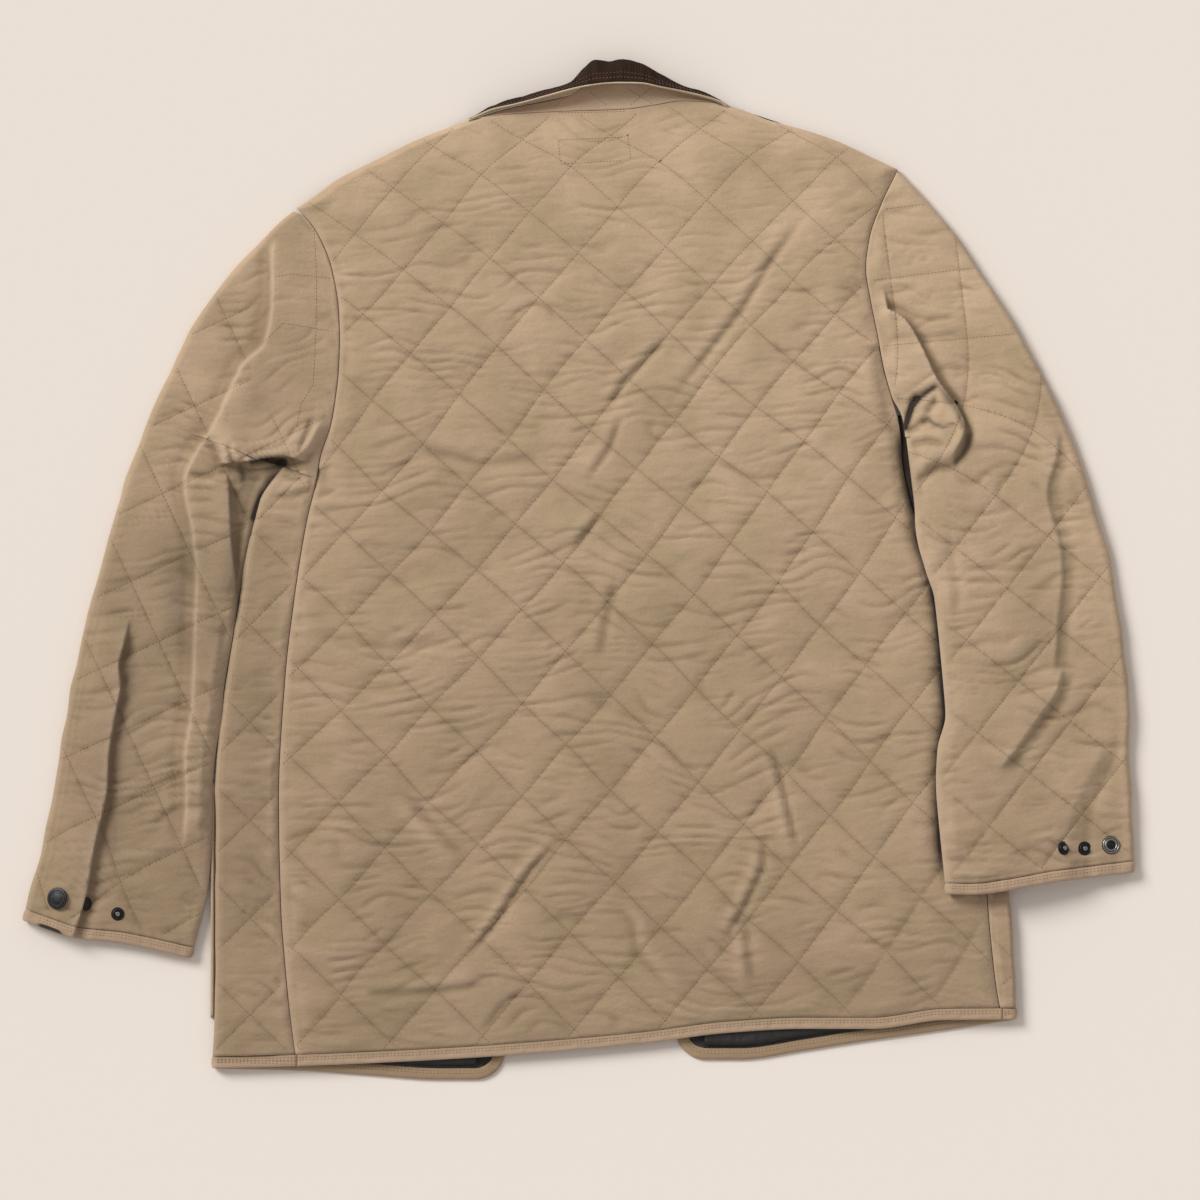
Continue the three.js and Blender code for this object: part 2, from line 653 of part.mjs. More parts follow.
function foldCrossings(sleeve, along) {
  const found = [];
  for (const fold of sleeve.folds) {
    if (along > fold.ends[0] + 8 && along < fold.ends[1] - 8) {
      const across = at(fold.line, 'along', 'across', along);
      found.push(across, across - fold.raised * fold.drop);
    }
  }
  return found.sort((a, b) => a - b);
}

// The outer fold: how far each point stands out, and its height between the two layers.
const outerTurn = [{ out: 0.7, height: 0.85 }, { out: 1, height: 0.5 }, { out: 0.7, height: 0.15 }];

// Cross-section of a sleeve. Above the underarm it is open at the armhole, and below it the
// cloth goes all the way round to the underarm seam at its inner side.
function sleeveRow(sleeve, along, options) {
  const { toCuff, asInside, isBinding, isEnd } = options;
  const row = along / sleeveStep;
  const inset = asInside ? wall : 0;
  const proud = isBinding ? touch : 0;
  const closed = along > sleeve.underarm;
  const points = [];
  const cuffAtMiddle = sleeve.cuff[0].along;
  const spot = (across) => {
    const cuff = at(sleeve.cuff, 'across', 'along', across);
    const shifted = along + toCuff * (cuff - cuffAtMiddle);
    return { shifted, ...sleevePoint(sleeve, shifted, across) };
  };
  const topHeight = (across) => {
    const here = spot(across);
    const rest = sleeveRest(sleeve, here.x, here.y);
    return rest + panelTop + proud - inset;
  };
  const place = (across, z, g) => {
    const { x, y } = spot(across);
    points.push(bend({ x, y, z }, g, row));
  };
  const inArmhole = (across) => {
    const { x, y } = spot(across);
    return sleeve.side * x > sleeve.side * at(sleeve.armhole, 'y', 'x', y);
  };
  const outer = at(sleeve.outer, 'along', 'across', along) - inset + proud;
  const turn = (panelTop + 2 * proud) / 2 - inset;
  const middle = panelTop / 2;
  let from;
  if (closed) {
    from = at(sleeve.inner, 'along', 'across', along) + inset - proud;
    const base = sleeveRest(sleeve, spot(from).x, spot(from).y);
    place(from, base + middle + touch, 0);
    place(from + 0.3 * turn, base + middle + 0.7 * turn, 1);
    from += turn;
    place(from, topHeight(from), 1000);
  } else {
    from = crossing(outer, outer - 300, inArmhole) + seamGap / 2;
    const seam = seamHeight(spot(from).y, sleeve.shoulder);
    place(from, seam - inset, 1000);
  }
  const until = Math.max(outer - turn, from + 1.5);
  const marks = [];
  if (!asInside && !isBinding) {
    for (const mark of foldCrossings(sleeve, along)) {
      if (mark > from + foldMargin && mark < until - foldMargin) marks.push(mark);
    }
  }
  const columns = [...marks.map((across) => ({ across, isMark: true }))];
  const spacing = asInside && !isEnd ? 4 : 1;
  const firstColumn = Math.ceil((from + columnMargin) / sleeveStep);
  const lastColumn = Math.floor((until - columnMargin) / sleeveStep);
  for (let c = firstColumn; c <= lastColumn; c += 1) {
    const across = c * sleeveStep;
    const crowded = marks.some((mark) => Math.abs(mark - across) < foldMargin + 1);
    if (c % spacing === 0 && !crowded) columns.push({ across, c });
  }
  columns.sort((a, b) => a.across - b.across);
  for (const { across, c, isMark } of columns) {
    let z = topHeight(across);
    const { shifted } = spot(across);
    if (!asInside) z += sleeveFolds(sleeve, shifted, across);
    const rowIsWhole = Math.abs(row - Math.round(row)) < 1e-9;
    if (!asInside && !isBinding && !isMark && rowIsWhole) z += puffAt(c, Math.round(row));
    place(across, z, 1200 + across / sleeveStep);
  }
  place(until, topHeight(until), 2000);
  const reach = Math.max(outer - until, thinnest);
  const foldTop = topHeight(until);
  const low = Math.max(inset - proud, 0);
  for (const { out, height } of outerTurn) {
    place(until + out * reach, low + (foldTop - low) * height, 2002 - height);
  }
  const floor = (across) => {
    const here = spot(across);
    return sleeveRest(sleeve, here.x, here.y) + low;
  };
  place(until, floor(until), 3000);
  const underSpacing = sleeve.side > 0 ? 1 : 2;
  for (let c = lastColumn; c >= firstColumn; c -= 1) {
    if (c % underSpacing === 0) place(c * sleeveStep, floor(c * sleeveStep), 3100 - c);
  }
  const ceiling = closed ? Infinity : seamHeight(spot(from).y, sleeve.shoulder) - inset - thinnest;
  place(from, Math.min(floor(from), ceiling), 4000);
  if (closed) {
    const edge = from - turn;
    const base = sleeveRest(sleeve, spot(edge).x, spot(edge).y);
    place(edge + 0.3 * turn, base + middle - 0.7 * turn, 4001);
    place(edge, base + middle - touch, 4002);
  }
  return points;
}

function sleevePanel(sleeve) {
  const outer = [];
  const inner = [];
  const cuffAtInner = sleeve.cuff[0].along - bindingWidth - bindingGap;
  const add = (along, isEnd) => {
    const toCuff = smooth(cuffAtInner - hemMorph, cuffAtInner, along);
    outer.push(sleeveRow(sleeve, along, { toCuff, isEnd }));
    inner.push(sleeveRow(sleeve, along, { toCuff, isEnd, asInside: true }));
  };
  add(sleeve.top, true);
  for (let n = Math.ceil(sleeve.top / sleeveStep + 0.3); n * sleeveStep < cuffAtInner - 7; n += 1) {
    add(n * sleeveStep, false);
  }
  add(cuffAtInner, true);
  return wallBetween(outer, inner);
}

function cuffBinding(sleeve) {
  const end = sleeve.cuff[0].along;
  const outer = [];
  const inner = [];
  for (const along of [end - bindingWidth, end]) {
    const options = { toCuff: 1, isBinding: true, isEnd: true };
    outer.push(sleeveRow(sleeve, along, options));
    inner.push(sleeveRow(sleeve, along, { ...options, asInside: true }));
  }
  return wallBetween(outer, inner);
}

// ======== edges, collar and small pieces ========

// A strip that is bound over an edge. Each station has the edge's point, the way into the panel
// and the way across its thickness.
function boundStrip(stations) {
  const corner = (station, inward, through, g, row) => {
    const point = station.edge.clone();
    point.addScaledVector(station.inward, inward);
    point.addScaledVector(station.through, through);
    return bend({ x: point.x, y: point.y, z: point.z }, g, row);
  };
  const thickness = wall + touch;
  const upper = [];
  const lower = [];
  stations.forEach((station, row) => {
    upper.push([
      corner(station, 0, thickness - 1, 0, row),
      corner(station, 1, thickness, 1, row),
      corner(station, bindingWidth, thickness, 2, row),
    ]);
    lower.push([
      corner(station, 0, 1, 0, row),
      corner(station, 1, 0, 1, row),
      corner(station, bindingWidth, 0, 2, row),
    ]);
  });
  return wallBetween(upper, lower);
}

function backHemBinding() {
  const stations = [];
  const up = new THREE.Vector3(0, 0, 1);
  const inward = new THREE.Vector3(0, 1, 0);
  const from = at(leftEdge, 'y', 'x', -449) + 1;
  const to = at(rightEdge, 'y', 'x', -405) - 1;
  const count = 30;
  for (let n = 0; n <= count; n += 1) {
    const x = THREE.MathUtils.lerp(from, to, n / count);
    const edge = new THREE.Vector3(x, at(backHem, 'x', 'y', x), panelTop - wall);
    stations.push({ edge, inward, through: up });
  }
  return boundStrip(stations);
}

// The front's binding: from the side seam over the fold, along the hem, round the corner and up
// the front edge.
function frontBinding(front) {
  const { side } = front;
  const stations = [];
  const inward = new THREE.Vector3(0, 1, 0);
  const foldX = front.fold[0].x;
  const seamX = at(front.seam, 'y', 'x', front.hem.find((row) => Math.abs(row.x) > 300).y) + side;
  const radius = panelTop / 2;
  const outside = (x, z, through) => {
    const lower = z < radius;
    const y = lower ? at(front.hem, 'x', 'y', x) : at(backHem, 'x', 'y', x);
    const edge = new THREE.Vector3(x, y, z).addScaledVector(through, -wall - touch);
    stations.push({ edge, inward, through });
  };
  const up = new THREE.Vector3(0, 0, 1);
  const runs = Math.max(1, Math.round(Math.abs(foldX - side * radius - seamX) / 20));
  for (let n = 0; n < runs; n += 1) {
    outside(THREE.MathUtils.lerp(seamX, foldX - side * radius, n / runs), panelTop, up);
  }
  const turns = 6;
  for (let n = 0; n <= turns; n += 1) {
    const angle = (Math.PI * n) / turns;
    const through = new THREE.Vector3(side * Math.sin(angle), 0, Math.cos(angle));
    const x = foldX - side * radius + side * radius * Math.sin(angle);
    outside(x, radius + radius * Math.cos(angle) + 1e-6, through);
  }
  const down = new THREE.Vector3(0, 0, -1);
  const lay = (x, y, way) => {
    const edge = new THREE.Vector3(x, y, wall + touch);
    stations.push({ edge, inward: way, through: down });
  };
  const edgeX = (y) => at(front.edge, 'y', 'x', y);
  const hemY = at(front.hem, 'x', 'y', side * 90);
  const centreX = edgeX(hemY) + side * cornerRadius;
  const lengthwise = 7;
  for (let n = 1; n <= lengthwise; n += 1) {
    const x = THREE.MathUtils.lerp(foldX - side * radius, centreX, n / lengthwise);
    lay(x, at(front.hem, 'x', 'y', x), inward);
  }
  const cornerTurns = 6;
  const centreY = hemY + cornerRadius;
  for (let n = 1; n <= cornerTurns; n += 1) {
    const angle = (Math.PI / 2) * (n / cornerTurns);
    const way = new THREE.Vector3(side * Math.sin(angle), Math.cos(angle), 0);
    lay(centreX - side * cornerRadius * Math.sin(angle), centreY - cornerRadius * Math.cos(angle), way);
  }
  const upwards = 18;
  const across = new THREE.Vector3(side, 0, 0);
  for (let n = 1; n <= upwards; n += 1) {
    const y = THREE.MathUtils.lerp(centreY, bindingEnd, n / upwards);
    lay(edgeX(y), y, across);
  }
  return boundStrip(stations);
}

// Point on a collar section: 0 at the roll, 1 at the edge, moved in from the face.
function fallPoint(section, u, depth) {
  const control = {
    y: 2 * section.bulge - (section.roll + section.edge) / 2,
    z: 2 * section.bulgeZ - (rollHeight + section.edgeZ) / 2,
  };
  const mix = (a, b, c) => (1 - u) ** 2 * a + 2 * u * (1 - u) * b + u ** 2 * c;
  const grow = (a, b, c) => 2 * (1 - u) * (b - a) + 2 * u * (c - b);
  const y = mix(section.roll, control.y, section.edge);
  const z = mix(rollHeight, control.z, section.edgeZ);
  const dy = grow(section.roll, control.y, section.edge);
  const dz = grow(rollHeight, control.z, section.edgeZ);
  const length = Math.hypot(dy, dz);
  return { x: section.x, y: y - (depth * dz) / length, z: z + (depth * dy) / length };
}

// The collar's sections, read more closely along their length.
function collarStations() {
  const from = collarSections[0].x;
  const to = collarSections[collarSections.length - 1].x;
  const stations = [];
  for (let n = 0; n < collarCount; n += 1) {
    const x = THREE.MathUtils.lerp(from, to, n / (collarCount - 1));
    const station = { x };
    for (const column of ['roll', 'bulge', 'edge', 'bulgeZ', 'edgeZ']) {
      station[column] = at(collarSections, 'x', column, x);
    }
    stations.push(station);
  }
  return stations;
}

function collarLayer(from, to, start, end) {
  const levels = 5;
  const stations = collarStations();
  const outer = [];
  const inner = [];
  for (let n = 0; n <= levels; n += 1) {
    const u = THREE.MathUtils.lerp(start, end, n / levels);
    outer.push(stations.map((section, g) => bend(fallPoint(section, u, from), g, n)));
    inner.push(stations.map((section, g) => bend(fallPoint(section, u, to), g, n)));
  }
  return wallBetween(outer, inner);
}

function collarStand() {
  const levels = 3;
  const stations = collarStations();
  const upper = [];
  const lower = [];
  for (let n = 0; n <= levels; n += 1) {
    const u = n / levels;
    const line = (drop) => stations.map((section, g) => {
      const seam = at(neckSeam, 'x', 'y', section.x) + seamGap;
      const y = THREE.MathUtils.lerp(seam, Math.max(section.roll - 2.2, seam + 0.4), u);
      const z = THREE.MathUtils.lerp(panelTop, rollHeight + standThickness - touch, u) - drop;
      return bend({ x: section.x, y, z }, g, n);
    });
    upper.push(line(0));
    lower.push(line(standThickness));
  }
  return wallBetween(upper, lower);
}

// A flat piece cut to an outline, lying between two heights.
function plate(outline, low, high) {
  const shape = new THREE.Shape(outline.map(([x, y]) => new THREE.Vector2(x, y)));
  const geometry = new THREE.ExtrudeGeometry(shape, { depth: high - low, bevelEnabled: false });
  geometry.translate(0, 0, low);
  return geometry;
}

function pocketPlate(front) {
  const { side, pocket } = front;
  const outline = [];
  const rows = 4;
  for (let n = 0; n <= rows; n += 1) {
    const y = THREE.MathUtils.lerp(pocket.low, pocket.high, n / rows);
    outline.push([at(front.fold, 'y', 'x', y) + side * pocket.proud, y]);
  }
  const inner = at(front.fold, 'y', 'x', pocket.low) - side * pocketWidth;
  outline.push([inner, pocket.high]);
  outline.push([inner, pocket.low]);
  return plate(outline, 0, padThickness);
}

// Facing of dark lining inside each front's hem.
function liningPlate(front) {
  const { side } = front;
  const outline = [];
  const margin = bindingWidth + 3;
  const from = side * (Math.abs(front.edge[0].x) + 2 * bindingWidth + 6);
  const to = front.fold[0].x - side * 26;
  const count = 6;
  const depth = 70;
  for (let n = 0; n <= count; n += 1) {
    const x = THREE.MathUtils.lerp(from, to, n / count);
    outline.push([x, at(front.hem, 'x', 'y', x) + margin]);
  }
  for (let n = count; n >= 0; n -= 1) {
    const x = THREE.MathUtils.lerp(from, to, n / count);
    outline.push([x, at(front.hem, 'x', 'y', x) + margin + depth]);
  }
  return plate(outline, wall + padThickness + 2 * touch, wall + padThickness + 2 * touch + 0.8);
}

// Highest point of a solid within a circle, where a snap is set.
function heightWithin(geometry, x, y, radius) {
  const ray = new THREE.Raycaster();
  const mesh = new THREE.Mesh(geometry, new THREE.MeshBasicMaterial({ side: THREE.DoubleSide }));
  let highest = 0;
  for (let n = 0; n <= 24; n += 1) {
    const reach = n === 24 ? 0 : radius * (n % 2 ? 1 : 0.55);
    const angle = (Math.PI * n) / 12;
    const from = new THREE.Vector3(x + reach * Math.cos(angle), y + reach * Math.sin(angle), 100);
    ray.set(from, new THREE.Vector3(0, 0, -1));
    const hits = ray.intersectObject(mesh);
    if (hits.length) highest = Math.max(highest, hits[0].point.z);
  }
  return highest;
}

function snapSolid({ kind, radius }) {
  const profiles = {
    cap: [[0, 0], [0.94, 0], [1, 0.5], [0.97, 1.4], [0.8, 2.2], [0.4, 2.6], [0, 2.7]],
    stud: [[0, 0], [1, 0], [1, 0.9], [0.62, 1.2], [0.42, 1.4], [0.36, 3.4], [0.2, 3.9], [0, 4]],
    socket: [[0, 0], [1, 0], [1, 1.2], [0.9, 2.2], [0.62, 2.4], [0.4, 2], [0.34, 1], [0, 0.9]],
  };
  const profile = profiles[kind].map(([r, z]) => new THREE.Vector2(r * radius, z));
  const geometry = new THREE.LatheGeometry(profile, 20);
  geometry.rotateX(Math.PI / 2);
  return geometry;
}

// ======== assembly ========

const jacket = new THREE.Group();

function add(name, geometry, finish) {
  geometry.computeVertexNormals();
  const mesh = new THREE.Mesh(geometry, new THREE.MeshStandardMaterial(finish));
  mesh.name = name;
  jacket.add(mesh);
  return mesh;
}

add('back', backPanel(), khaki);
add('front_left', frontPanel(leftFront), khaki);
add('front_right', frontPanel(rightFront), khaki);
const sleeveLeft = add('sleeve_left', sleevePanel(leftSleeve), khaki);
const sleeveRight = add('sleeve_right', sleevePanel(rightSleeve), khaki);
add('cuff_binding_left', cuffBinding(leftSleeve), bindingCloth);
add('cuff_binding_right', cuffBinding(rightSleeve), bindingCloth);
add('hem_binding_back', backHemBinding(), bindingCloth);
add('front_binding_left', frontBinding(leftFront), bindingCloth);
add('front_binding_right', frontBinding(rightFront), bindingCloth);
add('pocket_left', pocketPlate(leftFront), khaki);
add('pocket_right', pocketPlate(rightFront), khaki);
add('lining_left', liningPlate(leftFront), liningCloth);
add('lining_right', liningPlate(rightFront), liningCloth);
add('collar_stand', collarStand(), khaki);
add('collar_fall', collarLayer(0, fallThickness, 0, 1), collarCloth);
const underFrom = fallThickness + touch;
add('undercollar', collarLayer(underFrom, underFrom + underThickness, 0, 1), khaki);
add('collar_piping', collarLayer(0.1, 0.1 + pipingThickness, 1.012, 1.05), pipingCloth);
for (const snap of snaps) {
  const sleeve = snap.x < 0 ? sleeveLeft : sleeveRight;
  const mesh = add(snap.name, snapSolid(snap), gunmetal);
  mesh.position.set(snap.x, snap.y, heightWithin(sleeve.geometry, snap.x, snap.y, snap.radius) + touch);
}

export default jacket;
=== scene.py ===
from types import SimpleNamespace

import bpy
import numpy as np
from numpy import arange, clip, concatenate, cos, exp, hypot, linspace, maximum, minimum, pi
from numpy import sin, stack, where
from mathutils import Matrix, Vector


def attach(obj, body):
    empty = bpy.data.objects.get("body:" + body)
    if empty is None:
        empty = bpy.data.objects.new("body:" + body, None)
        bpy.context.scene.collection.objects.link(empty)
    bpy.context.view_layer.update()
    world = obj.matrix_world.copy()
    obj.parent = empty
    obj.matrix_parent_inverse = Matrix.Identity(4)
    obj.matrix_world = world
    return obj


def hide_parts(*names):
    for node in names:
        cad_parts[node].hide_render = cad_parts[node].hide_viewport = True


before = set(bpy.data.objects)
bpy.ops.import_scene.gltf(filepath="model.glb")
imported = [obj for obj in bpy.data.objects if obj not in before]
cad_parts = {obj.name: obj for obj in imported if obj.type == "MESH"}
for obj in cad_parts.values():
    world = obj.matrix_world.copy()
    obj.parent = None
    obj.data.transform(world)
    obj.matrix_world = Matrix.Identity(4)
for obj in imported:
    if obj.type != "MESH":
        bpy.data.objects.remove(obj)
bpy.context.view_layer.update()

# ---- Back of the jacket: one quilted panel of brushed cotton, wadding and lining. It was sewn
# through in diamonds, then washed, so the wadding stands up between the seams and the cotton is
# creased. Sizes are in millimetres.
WALL = 3.6
PANEL_TOP = 11
SHOULDER_TOP = 7.6
LEFT_SHOULDER, RIGHT_SHOULDER = 325, 360
LEFT_END, RIGHT_END = -449, -405
BACK_ROWS, BACK_COLUMNS = 449, 193
CENTRE, OUT_LEFT, OUT_RIGHT = 50, -530, 550
SEAM_GAP = 0.9
SEAM_ROLL, SEAM_DROP, SEAM_EASE = 3.4, 2.0, 12
BINDING = 10
OVERLAP = 0.2
BESIDE_BINDING = BINDING + 0.5
HEM_BEND = 65
SKY = 0.2
SEAM_WORN = 0.35
STEP = 86.4 / 4
LEFT_EDGE = [
    (-452, -255), (-399, -262), (-358, -266), (-303, -270), (-207, -272), (-96, -266), (-27, -258),
    (42, -247), (80, -238), (103, -234), (130, -225), (153, -221), (180, -218), (207, -217),
    (234, -218), (270, -224), (288, -230), (310, -242), (324, -255), (325, -256), (326, -254.5),
    (333, -244), (350, -221), (369, -184), (387, -147), (396, -124), (406, -98),
]
RIGHT_EDGE = [
    (-412, 381), (-386, 375), (-348, 370), (-293, 365), (-207, 357), (-117, 344), (-27, 326),
    (27, 308), (63, 296), (99, 289), (118, 288), (135, 285.5), (153, 280), (182, 272), (209, 267),
    (244, 260), (271, 256), (299, 259.5), (330, 270.5), (359, 284.5), (360, 285), (361, 283),
    (369, 266), (387, 227), (396, 200), (405, 167), (412, 150), (418, 131),
]
BACK_HEM = [
    (-334, -449), (-256, -447), (-142, -442), (-62, -437), (53, -427), (133, -417), (200, -413.5),
    (262, -413.5), (328, -405.5), (392, -405),
]
NECK_SEAM = [
    (-98, 406), (-59, 410), (-22, 412), (39, 414), (70, 418.4), (90, 421.6), (109, 421), (131, 418),
]
# height up the cloth, then where its left, middle and right come to lie: three x, three y
BACK_GRAIN = [
    (-570, -338, -47, 236, -438, -423, -399), (-430, -347, -52, 224, -297, -286, -261),
    (-300, -344, -54, 219, -167, -159, -132), (-170, -328, -54, 212, -48, -33, -5),
    (-40, -328, -64, 197, 76, 81, 117), (90, -352, -74, 189, 187, 204, 228),
    (220, -360, -85, 190, 275, 321, 336), (350, -381, -97, 180, 393, 433, 455),
]
HEM_T, NECK_T = -573, 335
# the large creases: depth of the trough, height of the ridge beside it, its side, half width, path
BACK_CREASES = [
    (2.4, 1.0, -1, 7, [(203, 320), (172, 279), (145, 234), (110, 189), (83, 154)]),
    (2.2, 1.0, -1, 6, [(79, 209), (38, 168), (24, 141)]),
    (2.0, 1.0, -1, 6, [(37, 140), (27, 111), (8, 82)]),
    (2.0, 1.2, -1, 6, [(20, 51), (-6, 20)]),
    (2.0, 1.2, -1, 8, [(32, -4), (23, -47), (17, -84)]),
    (3.0, 1.1, -1, 5, [(167, -158), (175, -172), (184, -206), (192, -240), (195, -256)]),
    (2.8, 1.4, -1, 6, [(165, -241), (164, -269), (148, -303), (130, -334)]),
    (2.2, 1.2, -1, 7, [(148, -314), (151, -348), (155, -375)]),
    (3.0, 1.6, -1, 5, [(-20, -244), (-44, -269), (-58, -289), (-78, -320), (-103, -351)]),
    (2.2, 1.6, 1, 7, [(-185, -384), (-130, -380), (-82, -374)]),
    (2.4, 1.8, 1, 10, [(-150, 110), (-90, 95), (-30, 100)]),
    (2.2, 1.6, 1, 10, [(-240, -60), (-170, -70), (-110, -60)]),
    (1.6, 1.2, 1, 7, [(30, -300), (46, -320), (50, -346), (74, -372), (80, -385)]),
    (2.0, 1.6, -1, 9, [(-160, -200), (-120, -245), (-100, -262)]),
]
# hollows in the whole cloth: depth, half width, path
BACK_DENTS = [
    (3.6, 8, [
        (284, 142), (287, 116), (291, 94), (296, 62), (303, 27), (314, -5), (319, -32), (323, -64),
        (325, -96), (328, -131), (323, -165), (322, -207), (323, -248), (328, -289),
    ]),
    (3.0, 7, [(266, 205), (270, 170), (277, 140), (282, 118)]),
    (3.0, 9, [(-236, 92), (-232, 80), (-226, 66)]),
]


def smooth(low, high, value):
    u = clip((value - low) / (high - low), 0, 1)
    return u * u * (3 - 2 * u)


def hump(low, full, fall, gone, value):
    """Rises from 0 to 1, stays there and falls back."""
    return smooth(low, full, value) * (1 - smooth(fall, gone, value))


def bell(value):
    return exp(-(value**2))


def at(table, value):
    """Reads a table of pairs along a curve that never overshoots its rows."""
    keys, heights = np.array(table, float).T
    slope = np.diff(heights) / np.diff(keys)
    before, after = slope[:-1], slope[1:]
    tangent = concatenate([slope[:1], np.zeros(len(before)), slope[-1:]])
    same = before * after > 0
    tangent[1:-1][same] = 2 * before[same] * after[same] / (before + after)[same]
    value = clip(value, keys[0], keys[-1])
    i = clip(np.searchsorted(keys, value, side="right") - 1, 0, len(keys) - 2)
    span = keys[i + 1] - keys[i]
    u = (value - keys[i]) / span
    curve = u * (1 - u) * ((1 - u) * tangent[i] - u * tangent[i + 1]) * span
    return heights[i] + (heights[i + 1] - heights[i]) * u * u * (3 - 2 * u) + curve


def root(start, end, inside, count=30):
    """Where inside() turns from true to false, for many pairs of ends at once."""
    low, high = start + 0.0 * end, end + 0.0 * start
    for _ in range(count):
        middle = (low + high) / 2
        within = inside(middle)
        low, high = where(within, middle, low), where(within, high, middle)
    return low


def cloud(x, y, wide, tall, seed):
    """A smooth random field from -1 to 1, with features of the given width and height."""
    grid = np.random.default_rng(seed).uniform(-1, 1, (61, 61))
    u, v = (x + 0.17 * y) / wide, (y - 0.13 * x) / tall
    i, j = np.floor(u).astype(int), np.floor(v).astype(int)
    u, v = smooth(0, 1, u - i), smooth(0, 1, v - j)
    i, k, j = i % 61, (i + 1) % 61, j % 61
    low, high = (grid[i, n] * (1 - u) + grid[k, n] * u for n in (j, (j + 1) % 61))
    return low * (1 - v) + high * v


def crumple(x, y, seed):
    """Rise of the fine creases that washing leaves, which run across the cloth."""
    bent = y + 21 * cloud(x, y, 92, 80, seed) + 6.5 * cloud(x, y, 37, 30, seed + 7)
    patch = smooth(-0.2, 0.6, cloud(x, y, 30, 17, seed + 1))
    other = smooth(-0.1, 0.6, cloud(x, y, 25, 12, seed + 2))
    first = bent / 14.5 + 0.8 * cloud(x, y, 45, 27, seed + 3)
    second = (y + 0.35 * bent) / 11.5 + 0.8 * cloud(x, y, 33, 21, seed + 4)
    trough = bell(sin(pi * first) / 0.42) * patch
    wrinkle = bell(sin(pi * second) / 0.5) * other
    broad, fine = cloud(x, bent, 62, 27, seed + 5), cloud(x, bent, 24, 9, seed + 6)
    return 1.5 * broad + 0.45 * fine - 1.55 * trough - 0.95 * wrinkle


def quilt(column, row, height):
    """Rise of the wadding at a point of the quilting, whose seams cross every four steps."""
    across = np.abs(sin(pi * (column + row) / 4))
    down = np.abs(sin(pi * (column - row) / 4))
    return height * (across * down) ** 0.4


def on_seams(column, row, reach):
    """Moves the columns nearest to a quilting seam on to it."""
    for sign in (1, -1):
        off = (column + sign * row + 2) % 4 - 2
        column = where(np.abs(off) < reach, column - off, column)
    return column


def beside(x, y, path):
    """Distance from a path with its side, the share of its length and the way off it."""
    x0, y0 = np.array(path[:-1], float).T
    run_x, run_y = np.diff(np.array(path, float), axis=0).T
    length = hypot(run_x, run_y)
    x, y = np.asarray(x)[..., None] - x0, np.asarray(y)[..., None] - y0
    u = clip((x * run_x + y * run_y) / length**2, 0, 1)
    away = hypot(x - u * run_x, y - u * run_y)
    signed = away * np.sign(run_x * y - run_y * x)
    along = (np.cumsum(length) - length + u * length) / length.sum()
    nearest = np.argmin(away, axis=-1)[..., None]
    return [
        np.take_along_axis(np.broadcast_to(value, away.shape), nearest, -1)[..., 0]
        for value in (signed, along, -run_y / length, run_x / length)
    ]


def crease(x, y, depth, ridge, side, width, path):
    """A soft trough along a path, with a ridge along one side, fading at both ends."""
    signed, along, _, _ = beside(x, y, path)
    fade = hump(0, 0.25, 0.75, 1, along) * 0.85 + 0.15
    crest = bell((signed * side - 1.3 * width) / width)
    return fade * (ridge * crest - depth * bell(signed / (0.55 * width)))


def dents(x, y, rows):
    """Hollows that the whole cloth sinks into, along paths."""
    sunk = 0 * x
    for depth, width, path in rows:
        signed, along, _, _ = beside(x, y, path)
        sunk = sunk + depth * hump(0, 0.1, 0.9, 1, along) * bell(signed / width)
    return sunk


def lap(x, y, height, side, reach, drop, path):
    """Cloth raised on one side of a path: its rise, and how far its lip hangs over."""
    signed, along, off_x, off_y = beside(x, y, path)
    beyond = side * signed
    past = maximum(beyond, 0)
    fade = hump(0, 0.15, 0.85, 1, along)
    rise = height * fade * smooth(-drop, 0, beyond) * bell(past / reach)
    rise = rise - 1.2 * fade * bell((beyond + drop + 4) / 5)
    lip = -3.0 * side * fade * smooth(-0.8 * drop, 0.5, beyond) * bell(past / 7)
    return rise, lip * off_x, lip * off_y


def turned(away, radius, drop):
    """Fall of a panel's face towards its edge, rounded like a turned seam."""
    u = 1 - clip(away / radius, 0, 1)
    return drop * (1 - np.sqrt(1 - u * u))


def back_plan(s, t):
    """Where a point of the back lies, from its places across the cloth and up it."""
    grain = np.array(BACK_GRAIN, float)

    def weigh(level, first):
        left, middle, right = (at(grain[:, [0, n]], level) for n in range(first, first + 3))
        u = s / 300
        return middle + u * (right - left) / 2 + u * u * ((right + left) / 2 - middle)

    x, y = weigh(t, 1), weigh(t, 4)
    to_hem = 1 - smooth(HEM_T, HEM_T + HEM_BEND, t)
    to_neck = smooth(NECK_T - 4 * STEP, NECK_T, t)
    y = y + to_hem * (at(BACK_HEM, x) + BESIDE_BINDING - weigh(HEM_T, 4))
    y = y + to_neck * (at(NECK_SEAM, x) - weigh(NECK_T, 4))
    free = (1 - to_hem) * (1 - to_neck)
    return x + 2.2 * free * cloud(x, y, 52, 47, 5), y + 1.8 * free * cloud(x, y, 43, 56, 6)


def seam_height(y, shoulder):
    """Height of the panels at a seam, which falls towards the shoulder's end."""
    return PANEL_TOP + (SHOULDER_TOP - PANEL_TOP) * smooth(shoulder - 30, shoulder, y)


def near_seam(away, along, seed):
    """Puckers that run square to a seam."""
    ripple = cloud(along, away * 0.15, 7.5, 30, seed) - 0.4
    return 1.5 * ripple * exp(-away / 12) * smooth(0, 4, away)


